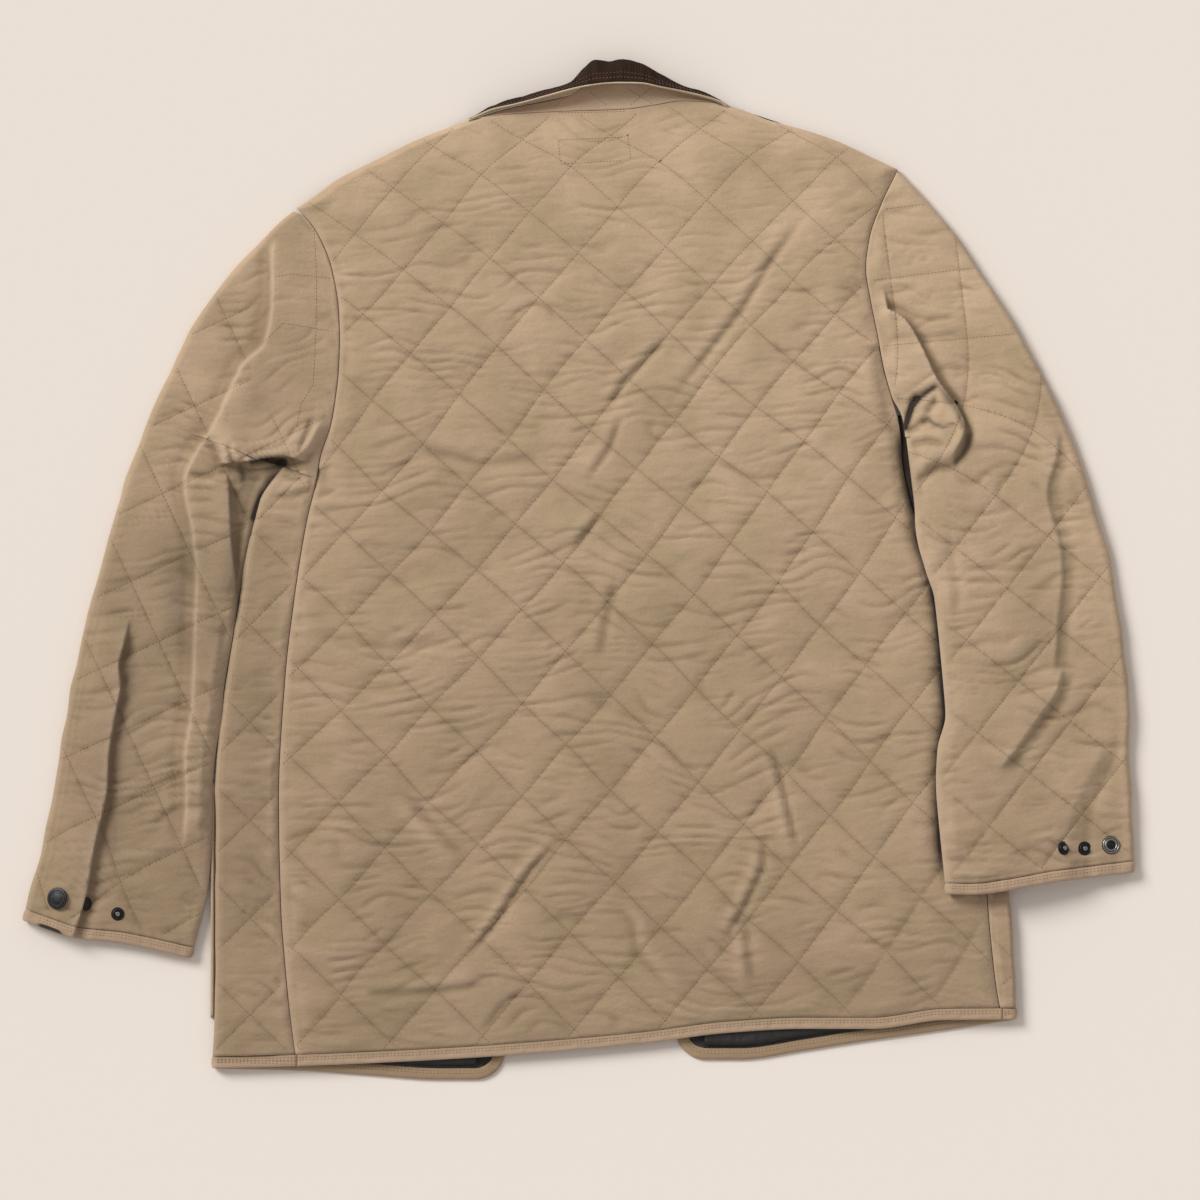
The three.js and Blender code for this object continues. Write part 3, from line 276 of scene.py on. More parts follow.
def mesh_object(name, points, faces):
    mesh = bpy.data.meshes.new(name)
    mesh.from_pydata((np.asarray(points, float) * 0.001).tolist(), [], faces)
    mesh.polygons.foreach_set("use_smooth", [True] * len(mesh.polygons))
    made = bpy.data.objects.new(name, mesh)
    bpy.context.collection.objects.link(made)
    return made


def blurred(values, times):
    """The values averaged with their neighbours over and over."""
    for _ in range(times):
        padded = np.pad(values, 1, mode="edge")
        rows = padded[:-2, 1:-1] + padded[2:, 1:-1]
        values = (2 * values + rows + padded[1:-1, :-2] + padded[1:-1, 2:]) / 6
    return values


def border(r0, r1, c0, c1):
    """Cells round the edge of a block of a grid."""
    ring = [(r0, k) for k in range(c0, c1)] + [(k, c1) for k in range(r0, r1)]
    return ring + [(r1, k) for k in range(c1, c0, -1)] + [(k, c0) for k in range(r1, r0, -1)]


def panel(name, outer, inner, relief, wear_and_shade, material, node):
    """A closed wall between two grids of points. Its plain inside has a quarter of the rows."""
    rows, columns = relief.shape
    fine = arange(rows * columns).reshape(rows, columns)
    kept = np.zeros((rows, columns), bool)
    kept[::4, ::4] = kept[[0, -1]] = kept[:, [0, -1]] = True
    plain = np.full((rows, columns), -1)
    plain[kept] = rows * columns + arange(kept.sum())
    a, b, c, d = fine[:-1, :-1], fine[:-1, 1:], fine[1:, 1:], fine[1:, :-1]
    falling = relief[:-1, :-1] + relief[1:, 1:] <= relief[:-1, 1:] + relief[1:, :-1]
    faces = []
    for whole, cut in (((a, b, c), (b, c, d)), ((a, c, d), (a, b, d))):
        half = [where(falling, p, q) for p, q in zip(whole, cut)]
        faces += stack(half, -1).reshape(-1, 3).tolist()
    for r in range(0, rows - 1, 4):
        for k in range(0, columns - 1, 4):
            ring = reversed(border(r, r + 4, k, k + 4))
            faces.append([int(plain[p]) for p in ring if plain[p] >= 0])
    rim = border(0, rows - 1, 0, columns - 1)
    for p, q in zip(rim, rim[1:] + rim[:1]):
        faces.append([int(fine[q]), int(fine[p]), int(plain[p]), int(plain[q])])
    points = concatenate([outer.reshape(-1, 3), inner[kept]])
    corners = points[np.array([face[:3] for face in faces])]
    if np.einsum("ij,ij->i", corners[:, 0], np.cross(corners[:, 1], corners[:, 2])).sum() < 0:
        faces = [face[::-1] for face in faces]
    made = mesh_object(name, points, faces)
    stood = clip((relief - blurred(relief, 24)) / 1.6, -1, 1)
    wear_and_shade = np.broadcast_to(wear_and_shade, relief.shape)
    for key, face, back in (("stood", stood, 0), ("wear_and_shade", wear_and_shade, 0), ("inside", 0 * relief, 1)):
        values = np.append(face, np.full(kept.sum(), back)).astype(np.float32)
        made.data.attributes.new(key, "FLOAT", "POINT").data.foreach_set("value", values)
    return finish_piece(made, material, node)


def rgb(code, alpha=1.0):
    parts = [int(code[n : n + 2], 16) / 255 for n in (0, 2, 4)]
    return [p / 12.92 if p <= 0.04045 else ((p + 0.055) / 1.055) ** 2.4 for p in parts] + [alpha]


def add_node(tree, kind, inputs=None, **settings):
    """Adds one shader node with its settings, values and links."""
    made = tree.nodes.new("ShaderNode" + kind)
    for key, value in settings.items():
        setattr(made, key, value)
    for key, value in (inputs or {}).items():
        if isinstance(value, bpy.types.NodeSocket):
            tree.links.new(value, made.inputs[key])
        else:
            made.inputs[key].default_value = value
    return made


def new_material(name, roughness, shine=0.5, code=None):
    material = bpy.data.materials.new(name)
    material.use_nodes = True
    tree = material.node_tree
    shader = tree.nodes["Principled BSDF"]
    shader.inputs["Roughness"].default_value = roughness
    shader.inputs["Specular IOR Level"].default_value = shine
    if code:
        shader.inputs["Base Color"].default_value = rgb(code)
    return material, tree, shader


def mixed(tree, factor, first, second, blend="MIX"):
    inputs = {0: factor, 6: first, 7: second}
    return add_node(tree, "Mix", inputs, data_type="RGBA", blend_type=blend).outputs[2]


def noise(tree, place, scale, detail=3.0):
    inputs = {"Vector": place, "Scale": scale, "Detail": detail}
    return add_node(tree, "TexNoise", inputs).outputs["Fac"]


def ramp(tree, value, low, high, to_low=0.0, to_high=1.0):
    inputs = {0: value, 1: low, 2: high, 3: to_low, 4: to_high}
    return add_node(tree, "MapRange", inputs).outputs[0]


def bumped(tree, shader, height, distance, **inputs):
    """A relief of the given depth in metres, linked to the shader unless that is None."""
    bump = add_node(tree, "Bump", {"Height": height, "Distance": distance, **inputs}).outputs[0]
    if shader:
        tree.links.new(bump, shader.inputs["Normal"])
    return bump


def brushed_cotton(name, light, dark, worn_tint, lining):
    """Piece-dyed cotton moleskin, washed pale on its ridges and seams, with painted shade in its
    creases, in deep folds and towards the bottom left.
    """
    material, tree, shader = new_material(name, 0.93, 0.15)
    place = add_node(tree, "TexCoord").outputs["Object"]
    parts = add_node(tree, "SeparateXYZ", {0: place}).outputs
    stood, wear_and_shade, inside = (
        add_node(tree, "Attribute", attribute_name=fact).outputs["Fac"]
        for fact in ("stood", "wear_and_shade", "inside")
    )
    # Painted shade: the cloth darkens towards the bottom and the left, broken up by a random tone.
    inputs = {0: parts["X"], 1: 0.42, 2: parts["Y"]}
    slant = add_node(tree, "Math", inputs, operation="MULTIPLY_ADD")
    down = ramp(tree, slant.outputs[0], 0.42, -0.42)
    uneven = ramp(tree, noise(tree, place, 7.0), 0, 1, 0.35, 1.5)
    painted_falloff = add_node(tree, "Math", {0: down, 1: uneven}, operation="MULTIPLY", use_clamp=True)
    body = mixed(tree, painted_falloff.outputs[0], rgb(light), rgb(dark))
    patch = ramp(tree, noise(tree, place, 21.0, 5.0), 0.35, 0.7)
    body = mixed(tree, patch, body, mixed(tree, 0.46, body, rgb("8D7E5C")))
    # Painted shade in the hollows, where the cloth lies below its surroundings.
    body = mixed(tree, ramp(tree, stood, 0, -1, 0, 0.38), body, rgb("65503A"))
    body = mixed(tree, ramp(tree, stood, 0.1, 1, 0, 0.3), body, rgb(worn_tint))
    # Above zero the attribute is wear, rubbed pale; below zero it is painted shade, near black in
    # deep folds and crevices.
    body = mixed(tree, wear_and_shade, body, rgb(worn_tint))
    body = mixed(tree, ramp(tree, wear_and_shade, 0, -1), body, rgb("2B2018"))
    nap = noise(tree, place, 420.0)
    body = mixed(tree, 1.0, body, ramp(tree, nap, 0, 1, 0.9, 1.1), "MULTIPLY")
    tree.links.new(mixed(tree, inside, body, rgb(lining)), shader.inputs["Base Color"])
    stretched = add_node(tree, "Mapping", {"Vector": place, "Scale": (0.45, 1.0, 1.0)})
    soft = bumped(tree, None, noise(tree, stretched.outputs[0], 130.0), 0.0016, Strength=0.7)
    bumped(tree, shader, nap, 0.0004, Strength=0.5, Normal=soft)
    shader.inputs["Sheen Weight"].default_value = 0.25
    shader.inputs["Sheen Roughness"].default_value = 0.6
    return material


khaki_cotton = brushed_cotton("Washed khaki moleskin", "C3A98C", "99826A", "CAB199", "1B1919")


def thread_material(name, code):
    return new_material(name, 0.7, code=code)[0]


quilting_thread = thread_material("Brown polyester quilting thread", "7C604A")


def finish_piece(piece, material, node):
    piece.data.materials.append(material)
    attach(piece, "root")
    if node:
        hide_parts(node)
    return piece


STITCH_FACES = [(0, 3, 4), (3, 1, 4), (1, 2, 4), (2, 0, 4)]
STITCH_FACES += [(3, 0, 5), (1, 3, 5), (2, 1, 5), (0, 2, 5)]


def sew(name, piece, runs, length=2.9, gap=0.35, width=0.46, thread=None, lift=0.1):
    """Stitches along paths seen from above, each laid on the top of the piece below it."""
    points, faces = [], []
    for run in (np.asarray(run, float) for run in runs):
        steps = concatenate([[0], np.cumsum(hypot(*np.diff(run, axis=0).T))])
        for start in arange(0.5 * gap, steps[-1] - length, length + gap):
            ends = []
            for mark in (start, start + length / 2, start + length):
                x, y = (np.interp(mark, steps, run[:, n]) for n in (0, 1))
                hit, spot, normal, _ = piece.ray_cast((x / 1000, y / 1000, SKY), (0, 0, -1))
                if hit:
                    ends.append((np.array(spot) * 1000, np.array(normal)))
            if len(ends) < 3 or abs(ends[0][0][2] - ends[2][0][2]) > 3:
                continue
            (p, _), (m, normal), (q, _) = ends
            m = m + normal * lift
            side = np.cross(normal, q - p)
            side *= width / 2 / max(np.linalg.norm(side), 1e-6)
            faces += [[len(points) + corner for corner in face] for face in STITCH_FACES]
            points += [p, q, m + side, m - side, m + normal * 0.3, m - normal * 0.3]
    made = mesh_object(name, points, faces)
    return finish_piece(made, thread or quilting_thread, None)


def runs_of(column, row, plan, within):
    """A seam's path, split where it leaves the panel."""
    x, y = plan(column, row)
    sewn = within(column, row, x, y)
    parts = np.split(arange(len(x)), np.flatnonzero(np.diff(sewn.astype(int))) + 1)
    return [stack([x[part], y[part]], 1) for part in parts if sewn[part[0]] and len(part) > 3]


def lattice_runs(plan, within, reach):
    """Paths of both families of quilting seams, in steps of the quilting."""
    runs = []
    walk = arange(-reach, reach, 0.1)
    for n in range(-reach, reach, 4):
        for row in (n - walk, walk - n):
            runs += runs_of(walk, row, plan, within)
    return runs


def edge_of_back(x, y):
    return minimum(x - at(LEFT_EDGE, y), at(RIGHT_EDGE, y) - x)


back_t = linspace(HEM_T, NECK_T, BACK_ROWS)
hem_end = np.array([0.0, 0.7, 1.6])
back_t[:3], back_t[-3:] = HEM_T + hem_end, NECK_T - hem_end[::-1]


def inside_back(s):
    return edge_of_back(*back_plan(s, back_t)) > 0


back_left, back_right = (
    root(CENTRE + 0 * back_t, CENTRE + out, inside_back)[:, None] for out in (OUT_LEFT, OUT_RIGHT)
)
s = back_left + (back_right - back_left) * linspace(0, 1, BACK_COLUMNS)
s[:, 1:2], s[:, -2:-1] = back_left + 0.7, back_right - 0.7
t = back_t[:, None] + 0 * s
inner_s = s.copy()
reach = (back_right - back_left) * 0.0023 / STEP
s[:, 3:-3] = on_seams(s[:, 3:-3] / STEP, t[:, 3:-3] / STEP, reach) * STEP
s = np.sort(s, axis=1)
x, y = back_plan(s, t)
away = maximum(edge_of_back(x, y), 0)
to_end = minimum(t - HEM_T, NECK_T - t)
calm = smooth(0, 14, away) * smooth(0, 16, to_end)
lively = calm * (1 - 0.5 * smooth(250, 380, y))
puff = 2.5 - 1.3 * smooth(170, 360, y)
relief = quilt(s / STEP, t / STEP, puff) * calm + crumple(x, y, 3) * lively + near_seam(away, y, 21)
for depth, ridge, side, width, path in BACK_CREASES:
    relief += calm * crease(x, y, depth, ridge, side, width, path)
ends = seam_height(y, where(x < 0, LEFT_SHOULDER, RIGHT_SHOULDER))
base = ends + (PANEL_TOP - ends) * smooth(0, SEAM_EASE, away)
relief += (1.6 * cloud(x, y, 170, 120, 9) + 2.4) * (smooth(0, 60, away) * smooth(0, 60, to_end))
sunk = dents(x, y, BACK_DENTS)
relief -= sunk
z = base + relief - turned(away, SEAM_ROLL, SEAM_DROP) - turned(to_end, 2.4, 0.6)
outer = stack([x, y, z], -1)
inner = stack([*back_plan(inner_s, t), base - WALL - sunk], -1)
wear_and_shade = SEAM_WORN * exp(-away / 5) + 0.15 * exp(-to_end / 8)
# Painted shade: a dark line along the crevice beside the right sleeve.
wear_and_shade -= 1.2 * dents(x, y, [(1, 4, BACK_DENTS[0][2])])
back = panel("back_panel", outer, inner, relief, wear_and_shade, khaki_cotton, "back")


def on_back(c, r, x, y):
    return (edge_of_back(x, y) > 2) & (r * STEP > HEM_T + 4) & (r * STEP < NECK_T - 3)


seams = lattice_runs(lambda c, r: back_plan(c * STEP, r * STEP), on_back, 40)
sewing = sew("back_quilting", back, seams)

# ---- Label stitching: the thread that held a sewn-in label, through to the outside as a bare
# rectangle, with the knots where it started and ended.
label_thread = thread_material("Brown label thread", "5E4735")
LABEL = [[(-20.3, 386.5), (41.2, 389.3)], [(42.1, 389.3), (44.8, 369)], [(-18.5, 365), (38.4, 368)]]
LABEL += [[(-20.3, 386.5), (-18.5, 365)], [(-21, 411), (0, 411.2), (20, 411.8), (41, 412.4)]]
sew("label_stitching", back, LABEL, 2.2, 0.7, 0.5, label_thread)
KNOTS = [[(41, 390), (43, 391.6), (41.2, 392)], [(70.2, 367), (72.4, 368.4), (71, 369)]]
sew("label_knots", back, KNOTS + KNOTS, 1.5, 0.1, 1.5, label_thread, 0.6)

# ---- Fronts: a quilted panel each, sewn to the back at the side seam. Each wraps round the side
# fold and lies under the back, with its pocket and its hem's rounded corner.
# dip: where the top sinks under the sleeve; shade: painted shade in deep folds and shaded strips:
# how dark, half width, path
LEFT_FRONT = SimpleNamespace(
    side=-1, seam=LEFT_EDGE, underarm=103, dip=(88, 102), top=398,
    column=298,
    fold=[
        (-449, -332), (-405, -329.5), (-190, -329), (-153, -326.5), (-117, -322), (-45, -310.5),
        (27, -299), (63, -288.5), (85, -274.5), (92, -270), (104, -266),
    ],
    hem=[(-334, -449), (-253, -451), (-190, -455), (-127, -459), (-60, -459)],
    edge=[
        (-459, -68), (-432, -68), (-100, -50), (325, -30), (350, -38), (375, -60), (395, -85),
        (406, -98),
    ],
    pocket=(-403, -192, 4),
    creases=[
        (2.6, 1.8, 1, 4, [(-239, 82), (-252, 89), (-266, 96)]),
        (2.4, 1.6, 1, 4, [(-239, 78), (-254, 81), (-270, 84)]),
        (2.0, 1.4, -1, 5, [(-240, 72), (-258, 66), (-276, 64)]),
    ],
    shade=[
        (0.9, 6, [(-290, 92), (-272, 95), (-258, 94), (-248, 90)]),
        (0.13, 45, [(-285, 60), (-292, -20), (-300, -140), (-310, -330)]),
    ],
)
RIGHT_FRONT = SimpleNamespace(
    side=1, seam=RIGHT_EDGE, underarm=138, dip=(-60, -20), top=411,
    column=352,
    fold=[
        (-405, 392), (-351, 390), (-310, 387), (-252, 380), (-207, 374), (-117, 360), (-27, 340),
        (27, 322), (63, 309), (99, 301), (118, 299),
    ],
    hem=[(85, -441), (143, -441), (200, -433), (251, -425), (287, -420), (392, -405)],
    edge=[
        (-441, 85), (-414, 85), (-100, 76), (335, 62), (360, 70), (385, 92), (405, 118), (418, 131),
    ],
    pocket=(-359, -148, -14), creases=[],
    shade=[(2.2, 16, [(288, 160), (292, 120), (298, 90), (312, 40), (330, -30)])],
)
FRONT_STEP = 87.8 / 4
FRONT_COLUMNS = 29
TURN = linspace(0, pi, 13)[1:]
FRONT_ROW = -137.7
CORNER = 27
POCKET_WIDTH = 180
PAD = 2.1
TOUCH = 0.3


def pad_lift(front, outward, y):
    """How far a front lies off the floor, over its patch pocket."""
    low, high, _ = front.pocket
    fold = front.side * at(front.fold, low)
    beside = maximum(fold - POCKET_WIDTH - outward, 0)
    past = maximum(maximum(low - y, y - high), 0)
    return (PAD + TOUCH) * (1 - smooth(30, 70, beside)) * (1 - smooth(24, 44, past))


def front_grid(front, inset, detailed):
    """A front's points from the side seam over the fold to its hidden edge, its relief and more."""
    side = front.side
    fold_hem = float(at(front.hem, side * 400))
    start = fold_hem + BESIDE_BINDING
    rows = linspace(start, front.top, 289)[:, None]
    to_hem = 1 - smooth(start, start + HEM_BEND, rows)
    seam = side * at(front.seam, rows)
    wrapped = rows < front.underarm
    fold = side * at(front.fold, rows) - inset
    under = pad_lift(front, fold, rows) + inset
    top = PANEL_TOP - inset - 6 * smooth(*front.dip, rows)
    radius = (top - under) / 2
    start = seam + SEAM_GAP / 2
    turn_at = maximum(fold - radius, start + 1)
    out = start + (turn_at - start) * linspace(0, 1, FRONT_COLUMNS)
    out[:, 1:2] = start + 0.8
    column = (front.column - out) / FRONT_STEP
    row = (rows - FRONT_ROW) / FRONT_STEP + 0 * out
    reach = (turn_at - start) * 0.016 / FRONT_STEP
    column[:, 2:-1] = on_seams(column[:, 2:-1], row[:, 2:-1], reach)
    out = np.sort(front.column - column * FRONT_STEP, axis=1)
    away = out - start
    calm = smooth(0, 8, away)
    relief = np.zeros(out.shape)
    if detailed:
        lively = 1 - smooth(-20, 6, out - turn_at) * 0.5
        x, y = side * out, rows + 0 * out
        relief = calm * lively * (quilt(column, row, 2.4) + 1.1 * crumple(x, y, 41 + side))
        relief = relief + near_seam(away, y, 43 + side)
        for ridge in front.creases:
            relief = relief + crease(x, y, *ridge)
    top_z = top + relief - (turned(away, SEAM_ROLL, SEAM_DROP) if detailed else 0)
    rise = relief[:, -1:]
    middle_z, tall = (top + rise + under) / 2, (top + rise - under) / 2
    wave = 0.9 * cloud(rows + 0 * TURN, 0 * TURN, 22, 9, 47 + side) if detailed else 0
    turn_out = turn_at + (radius + wave) * sin(TURN)
    turn_z = middle_z + tall * cos(TURN)
    hem_here = at(front.hem, side * 100.0)
    laid = rows + to_hem * (hem_here - fold_hem)
    above = maximum(laid - hem_here - BESIDE_BINDING, 0)
    cut = turned(above, CORNER - BINDING, CORNER - BINDING)
    edge = side * at(front.edge, laid) + where(rows < 330, BESIDE_BINDING, 2) + cut
    tucked = 5 * (1 - smooth(0, 30, rows - front.underarm))
    flat_from = where(wrapped, turn_at, seam - SEAM_GAP - tucked)
    low_out = flat_from + (edge - flat_from) * linspace(0, 1, 49)[1:]
    gather = 0.2 * (1 - linspace(0, 1, 41))
    hidden_z = pad_lift(front, flat_from, rows) + inset
    out = where(wrapped, concatenate([out, turn_out], 1), flat_from + gather)
    z = where(wrapped, concatenate([top_z, turn_z], 1), hidden_z)
    out = concatenate([out, low_out], 1)
    z = concatenate([z, pad_lift(front, low_out, rows) + inset], 1)
    lower = arange(out.shape[1])[None, :] >= 35
    x = side * out
    shift = where(lower, at(front.hem, x), at(BACK_HEM, x)) - fold_hem
    full = concatenate([relief, rise * (1 + cos(TURN)) / 2, 0 * low_out], 1)
    return stack([x, rows + to_hem * shift, z], -1), where(wrapped, full, 0), away


def front_panel(name, front, node):
    outer, relief, away = front_grid(front, 0, True)
    inner = front_grid(front, WALL, False)[0]
    wear_and_shade = np.zeros(relief.shape)
    face = np.s_[:, :FRONT_COLUMNS]
    wear_and_shade[face] = SEAM_WORN * exp(-away / 5)
    wear_and_shade[:, 27:41] = 0.1
    # Painted shade along the paths listed in shade.
    wear_and_shade[face] -= dents(outer[face][..., 0], outer[face][..., 1], front.shade)
    made = panel(name, outer, inner, relief, wear_and_shade, khaki_cotton, node)
    side = front.side
    hem = float(at(front.hem, side * 400))

    def plan(c, r):
        x, rows = side * (front.column - c * FRONT_STEP), FRONT_ROW + r * FRONT_STEP
        to_hem = 1 - smooth(0, HEM_BEND, rows - hem - BESIDE_BINDING)
        return x, rows + to_hem * (at(BACK_HEM, x) - hem)

    def within(c, r, x, y):
        rows = FRONT_ROW + r * FRONT_STEP
        beyond = side * x - side * at(front.seam, rows)
        inside_fold = side * at(front.fold, rows) - side * x
        sewn = (rows > hem + BINDING + 3) & (rows < front.underarm)
        return (beyond > 3) & (inside_fold > 2) & sewn

    sewing = sew(name + "_quilting", made, lattice_runs(plan, within, 24))


front_panel("left_front", LEFT_FRONT, "front_left")
front_panel("right_front", RIGHT_FRONT, "front_right")

# ---- Sleeves: one quilted panel each, set into the armhole and sewn down the inner side. They lie
# flattened, with loose cloth lapped over at the cap, the elbow and the cuff.
LEFT_SLEEVE = SimpleNamespace(
    side=-1, tilt=20, origin=(-376.6, 68.3), top=-279, underarm=-60,
    armhole=LEFT_EDGE, shoulder=LEFT_SHOULDER,
    outer=[
        (-282, -26), (-268, -16), (-240, -4), (-200, 12), (-160, 24), (-120, 29), (-60, 34),
        (0, 35), (80, 30), (140, 25), (200, 16), (260, 5), (320, -5), (404, -16),
    ],
    inner=[
        (-60, -97), (-42, -86), (-21, -86), (30, -91), (66, -97), (101, -104), (145, -112),
        (174, -120), (200, -124.5), (226, -131), (286, -151), (330, -162), (404, -169),
    ],
    cuff=[(-169, 384), (-104, 393), (-50, 404), (-16, 404)],
    # raised side, rise, how far the raised cloth reaches, width of the drop, ends, path
    laps=[
        (-1, 6.4, 34, 7.5, (-258, 300), [
            (-258, -15), (-160, -43), (-132, -31), (-79, -26), (-26, -17), (26, -42), (53, -55),
            (98, -70), (144, -85), (180, -96), (211, -102), (250, -117), (290, -129),
        ]),
        (1, 7, 30, 3, (112, 460), [
            (118, -10), (130, -11), (155, -13), (177, -22), (207, -27), (237, -33), (271, -43),
            (319, -49), (374, -58), (404, -59),
        ]),
    ],
    # height, raised side, reach, width of the drop, path
    folds=[
        (12, 1, 26, 2.4, [
            (-328, 95), (-314, 99), (-298, 100), (-278, 103.4), (-264, 104.4), (-255, 102),
            (-246, 96),
        ]),
        (5, -1, 14, 4, [(-320, 92), (-319.5, 63), (-318, 27), (-314, -10), (-309, -60)]),
    ],
    creases=[
        (3.4, 2.0, 1, 6, [(-241, 138), (-246, 122), (-254, 105)]),
        (3.0, 1.8, 1, 4, [(-318, 112), (-315, 104), (-312, 98)]),
        (2.4, 1.6, -1, 5, [(-352, 86), (-338, 84), (-325, 86)]),
        (2.4, 1.6, 1, 5, [(-322, 74), (-314, 70), (-308, 66)]),
    ],
    dents=[
        (3.6, 16, [(-262, 98), (-283, 78), (-293, 48), (-302, 12), (-310, -30), (-318, -80)]),
        (3.0, 12, [(-290, 94), (-304, 70), (-306, 30), (-304, 0), (-306, -30)]),
    ],
    # where the quilting is pressed flat; where its seams turn; seams given one by one
    flat_head=[(-296, 136)], slants=(-99, -98),
    rows=[
        [(-247, 318), (-240, 303), (-238, 265), (-238.5, 219), (-241, 167), (-252, 149),
         (-256, 128)],
        [(-283, 262), (-262, 266), (-240, 264), (-224, 262)],
        [(-284, 206), (-268, 222), (-240, 217), (-222, 214)],
    ],
    # painted shade in deep folds, under laps and on shaded panels: how dark, half width, path
    shade=[
        (0.8, 4, [(-300, 96), (-290, 98), (-280, 99), (-272, 98), (-264, 95)]),
        (0.9, 6, [(-262, 100), (-270, 92), (-279, 82), (-285, 70), (-290, 55), (-294, 40)]),
        (0.6, 3.5, [
            (-283, 76), (-290, 60), (-295, 45), (-299, 25), (-303, 5), (-306, -20), (-311, -60),
        ]),
        (0.3, 15, [(-294, 96), (-300, 78), (-303, 50), (-309, 10), (-316, -40)]),
        (0.5, 3, [(-319, 103), (-315, 99), (-311, 97)]),
        (0.5, 3, [(-308, 96), (-305, 87), (-304, 78)]),
        (0.12, 60, [(-350, 60), (-390, -40), (-420, -150), (-440, -320)]),
        (0.28, 7, [
            (-404, -60), (-407, -85), (-406, -105), (-412, -136), (-416, -165), (-419, -200),
            (-426, -270),
        ]),
        (0.22, 13, [(-358, 20), (-364, -10), (-364, -45), (-352, -80)]),
    ],
)
RIGHT_SLEEVE = SimpleNamespace(
    side=1, tilt=7, origin=(383.4, -16.65), top=-383, underarm=-146,
    armhole=RIGHT_EDGE, shoulder=RIGHT_SHOULDER,
    outer=[
        (-386, -52), (-360, -34), (-320, -7), (-280, 14), (-220, 42), (-180, 57), (-120, 75),
        (-60, 87), (0, 96), (80, 98), (120, 97), (160, 91), (220, 87), (268, 83),
    ],
    inner=[
        (-146, -77), (-72, -77), (-25, -71), (2, -66), (93, -68), (107, -69), (137, -80),
        (181, -86), (268, -88),
    ],
    cuff=[(-88, 267), (-52, 271), (27, 268), (83, 268)],
    laps=[
        (-1, 9, 26, 3, (-285, -108), [
            (-263, -78), (-252, -64), (-228, -53), (-198, -43), (-150, -22), (-123, -35),
        ]),
        (-1, 3.0, 46, 6, (-200, 90), [
            (-195, 41), (-144, 63), (-117, 58), (-77, 44), (-24, 50), (44, 38), (73, 32), (103, 12),
        ]),
        (-1, 2.4, 24, 15, (125, 330), [(126, 80), (155, 65), (180, 46), (214, 28), (268, 20)]),
    ],
    folds=[(4, -1, 20, 9, [(432, -80), (424, -110), (402, -140), (384, -165), (371, -182)])],
    creases=[
        (3.3, 2.4, 1, 5.5, [(324, 168), (317, 164), (306, 157), (294, 149)]),
        (3.2, 2.0, 1, 5, [(289, 122), (300, 127), (308, 133), (318, 138)]),
        (3.3, 1.0, -1, 6, [
            (324, 172), (334, 156), (341, 143), (345, 131), (349, 121), (344, 107), (334, 95),
        ]),
        (2.6, 1.6, 1, 5, [(320, 164), (318, 149), (309, 138)]),
        (3, 2.0, 1, 6, [(296, 112), (312, 116), (330, 112)]),
        (3, 2.0, 1, 7, [(300, 78), (322, 92), (338, 92)]),
        (1.3, 0.8, -1, 9, [(330, 40), (334, 10), (340, -20), (336, -50)]),
    ],
    dents=[(3.4, 8, [(286, 146), (292, 126), (296, 104), (298, 84), (300, 60)])],
    flat_head=[], slants=(-12, -3), rows=[],
    # painted shade in the deep crevice and along the lobes: how dark, half width, path
    shade=[
        (1.0, 2.2, [
            (322, 167), (312, 160), (304, 154), (298, 147), (295, 138), (292, 130), (286, 116),
        ]),
        (1.0, 3.5, [(304, 158), (297, 148), (294, 138), (291, 124)]),
        (0.8, 3, [(288, 124), (291, 108), (294, 92), (297, 72), (299, 45)]),
        (0.5, 3, [(319, 168), (330, 155), (340, 141), (345, 124)]),
        (0.6, 3, [(349, 124), (348, 112), (343, 102), (334, 94)]),
        (0.6, 1.8, [(305, 131), (312, 135), (318, 131), (326, 128), (333, 131), (339, 131)]),
    ],
)
SLEEVE_STEP = 84 / 4
LAP_HEIGHT = PANEL_TOP + 2.8 + 1.4
HEAD_CLOSER = 0.35
SLEEVE_COLUMNS = 89
RIGHT_SEAM_IN = 3.4


def sleeve_plan(sleeve, along, across):
    angle = np.radians(sleeve.tilt)
    side = sleeve.side
    x = sleeve.origin[0] + along * side * sin(angle) + across * side * cos(angle)
    return x, sleeve.origin[1] - along * cos(angle) + across * sin(angle)


def sleeve_rest(sleeve, x, y, reach=26, top=128):
    """Height of the sleeve's underside, where the right one lies on the body's side."""
    if sleeve.side < 0:
        return 0 * x
    beyond = x - at(RIGHT_FRONT.fold, y)
    return LAP_HEIGHT * (1 - smooth(2, reach, beyond)) * (1 - smooth(104, top, y))


def sleeve_laps(sleeve, along, across):
    """Rise of the lapped cloth, and how far its lip hangs over."""
    rise, shift = 0 * along * across, 0 * along * across
    for side, height, reach, drop, (start, end), path in sleeve.laps:
        beyond = side * (across - at(path, along))
        past = maximum(beyond, 0)
        fade = hump(start, start + 30, end - 30, end, along)
        rise += height * fade * smooth(-drop, 0, beyond) * bell(past / reach)
        rise -= 1.5 * fade * bell((beyond + drop + 5) / 6)
        shift -= side * 0.28 * height * fade * smooth(-0.8 * drop, 0.5, beyond) * bell(past / 8)
    return rise, shift


def quilting_of(sleeve, column, row):
    """The two families of a sleeve's seams, which run square to it at the head, slanting below."""
    start, end = sleeve.slants
    w = clip((row - start) / (end - start), 0, 1)
    slant = w * w * (3 - 2 * w)
    slid = maximum(row, end) - (end - start) * (0.5 - w**3 + w**4 / 2)
    closer = 1 + HEAD_CLOSER * (1 - slant)
    return column * closer + slid, column * slant - row - HEAD_CLOSER * (row - slid), closer, slant


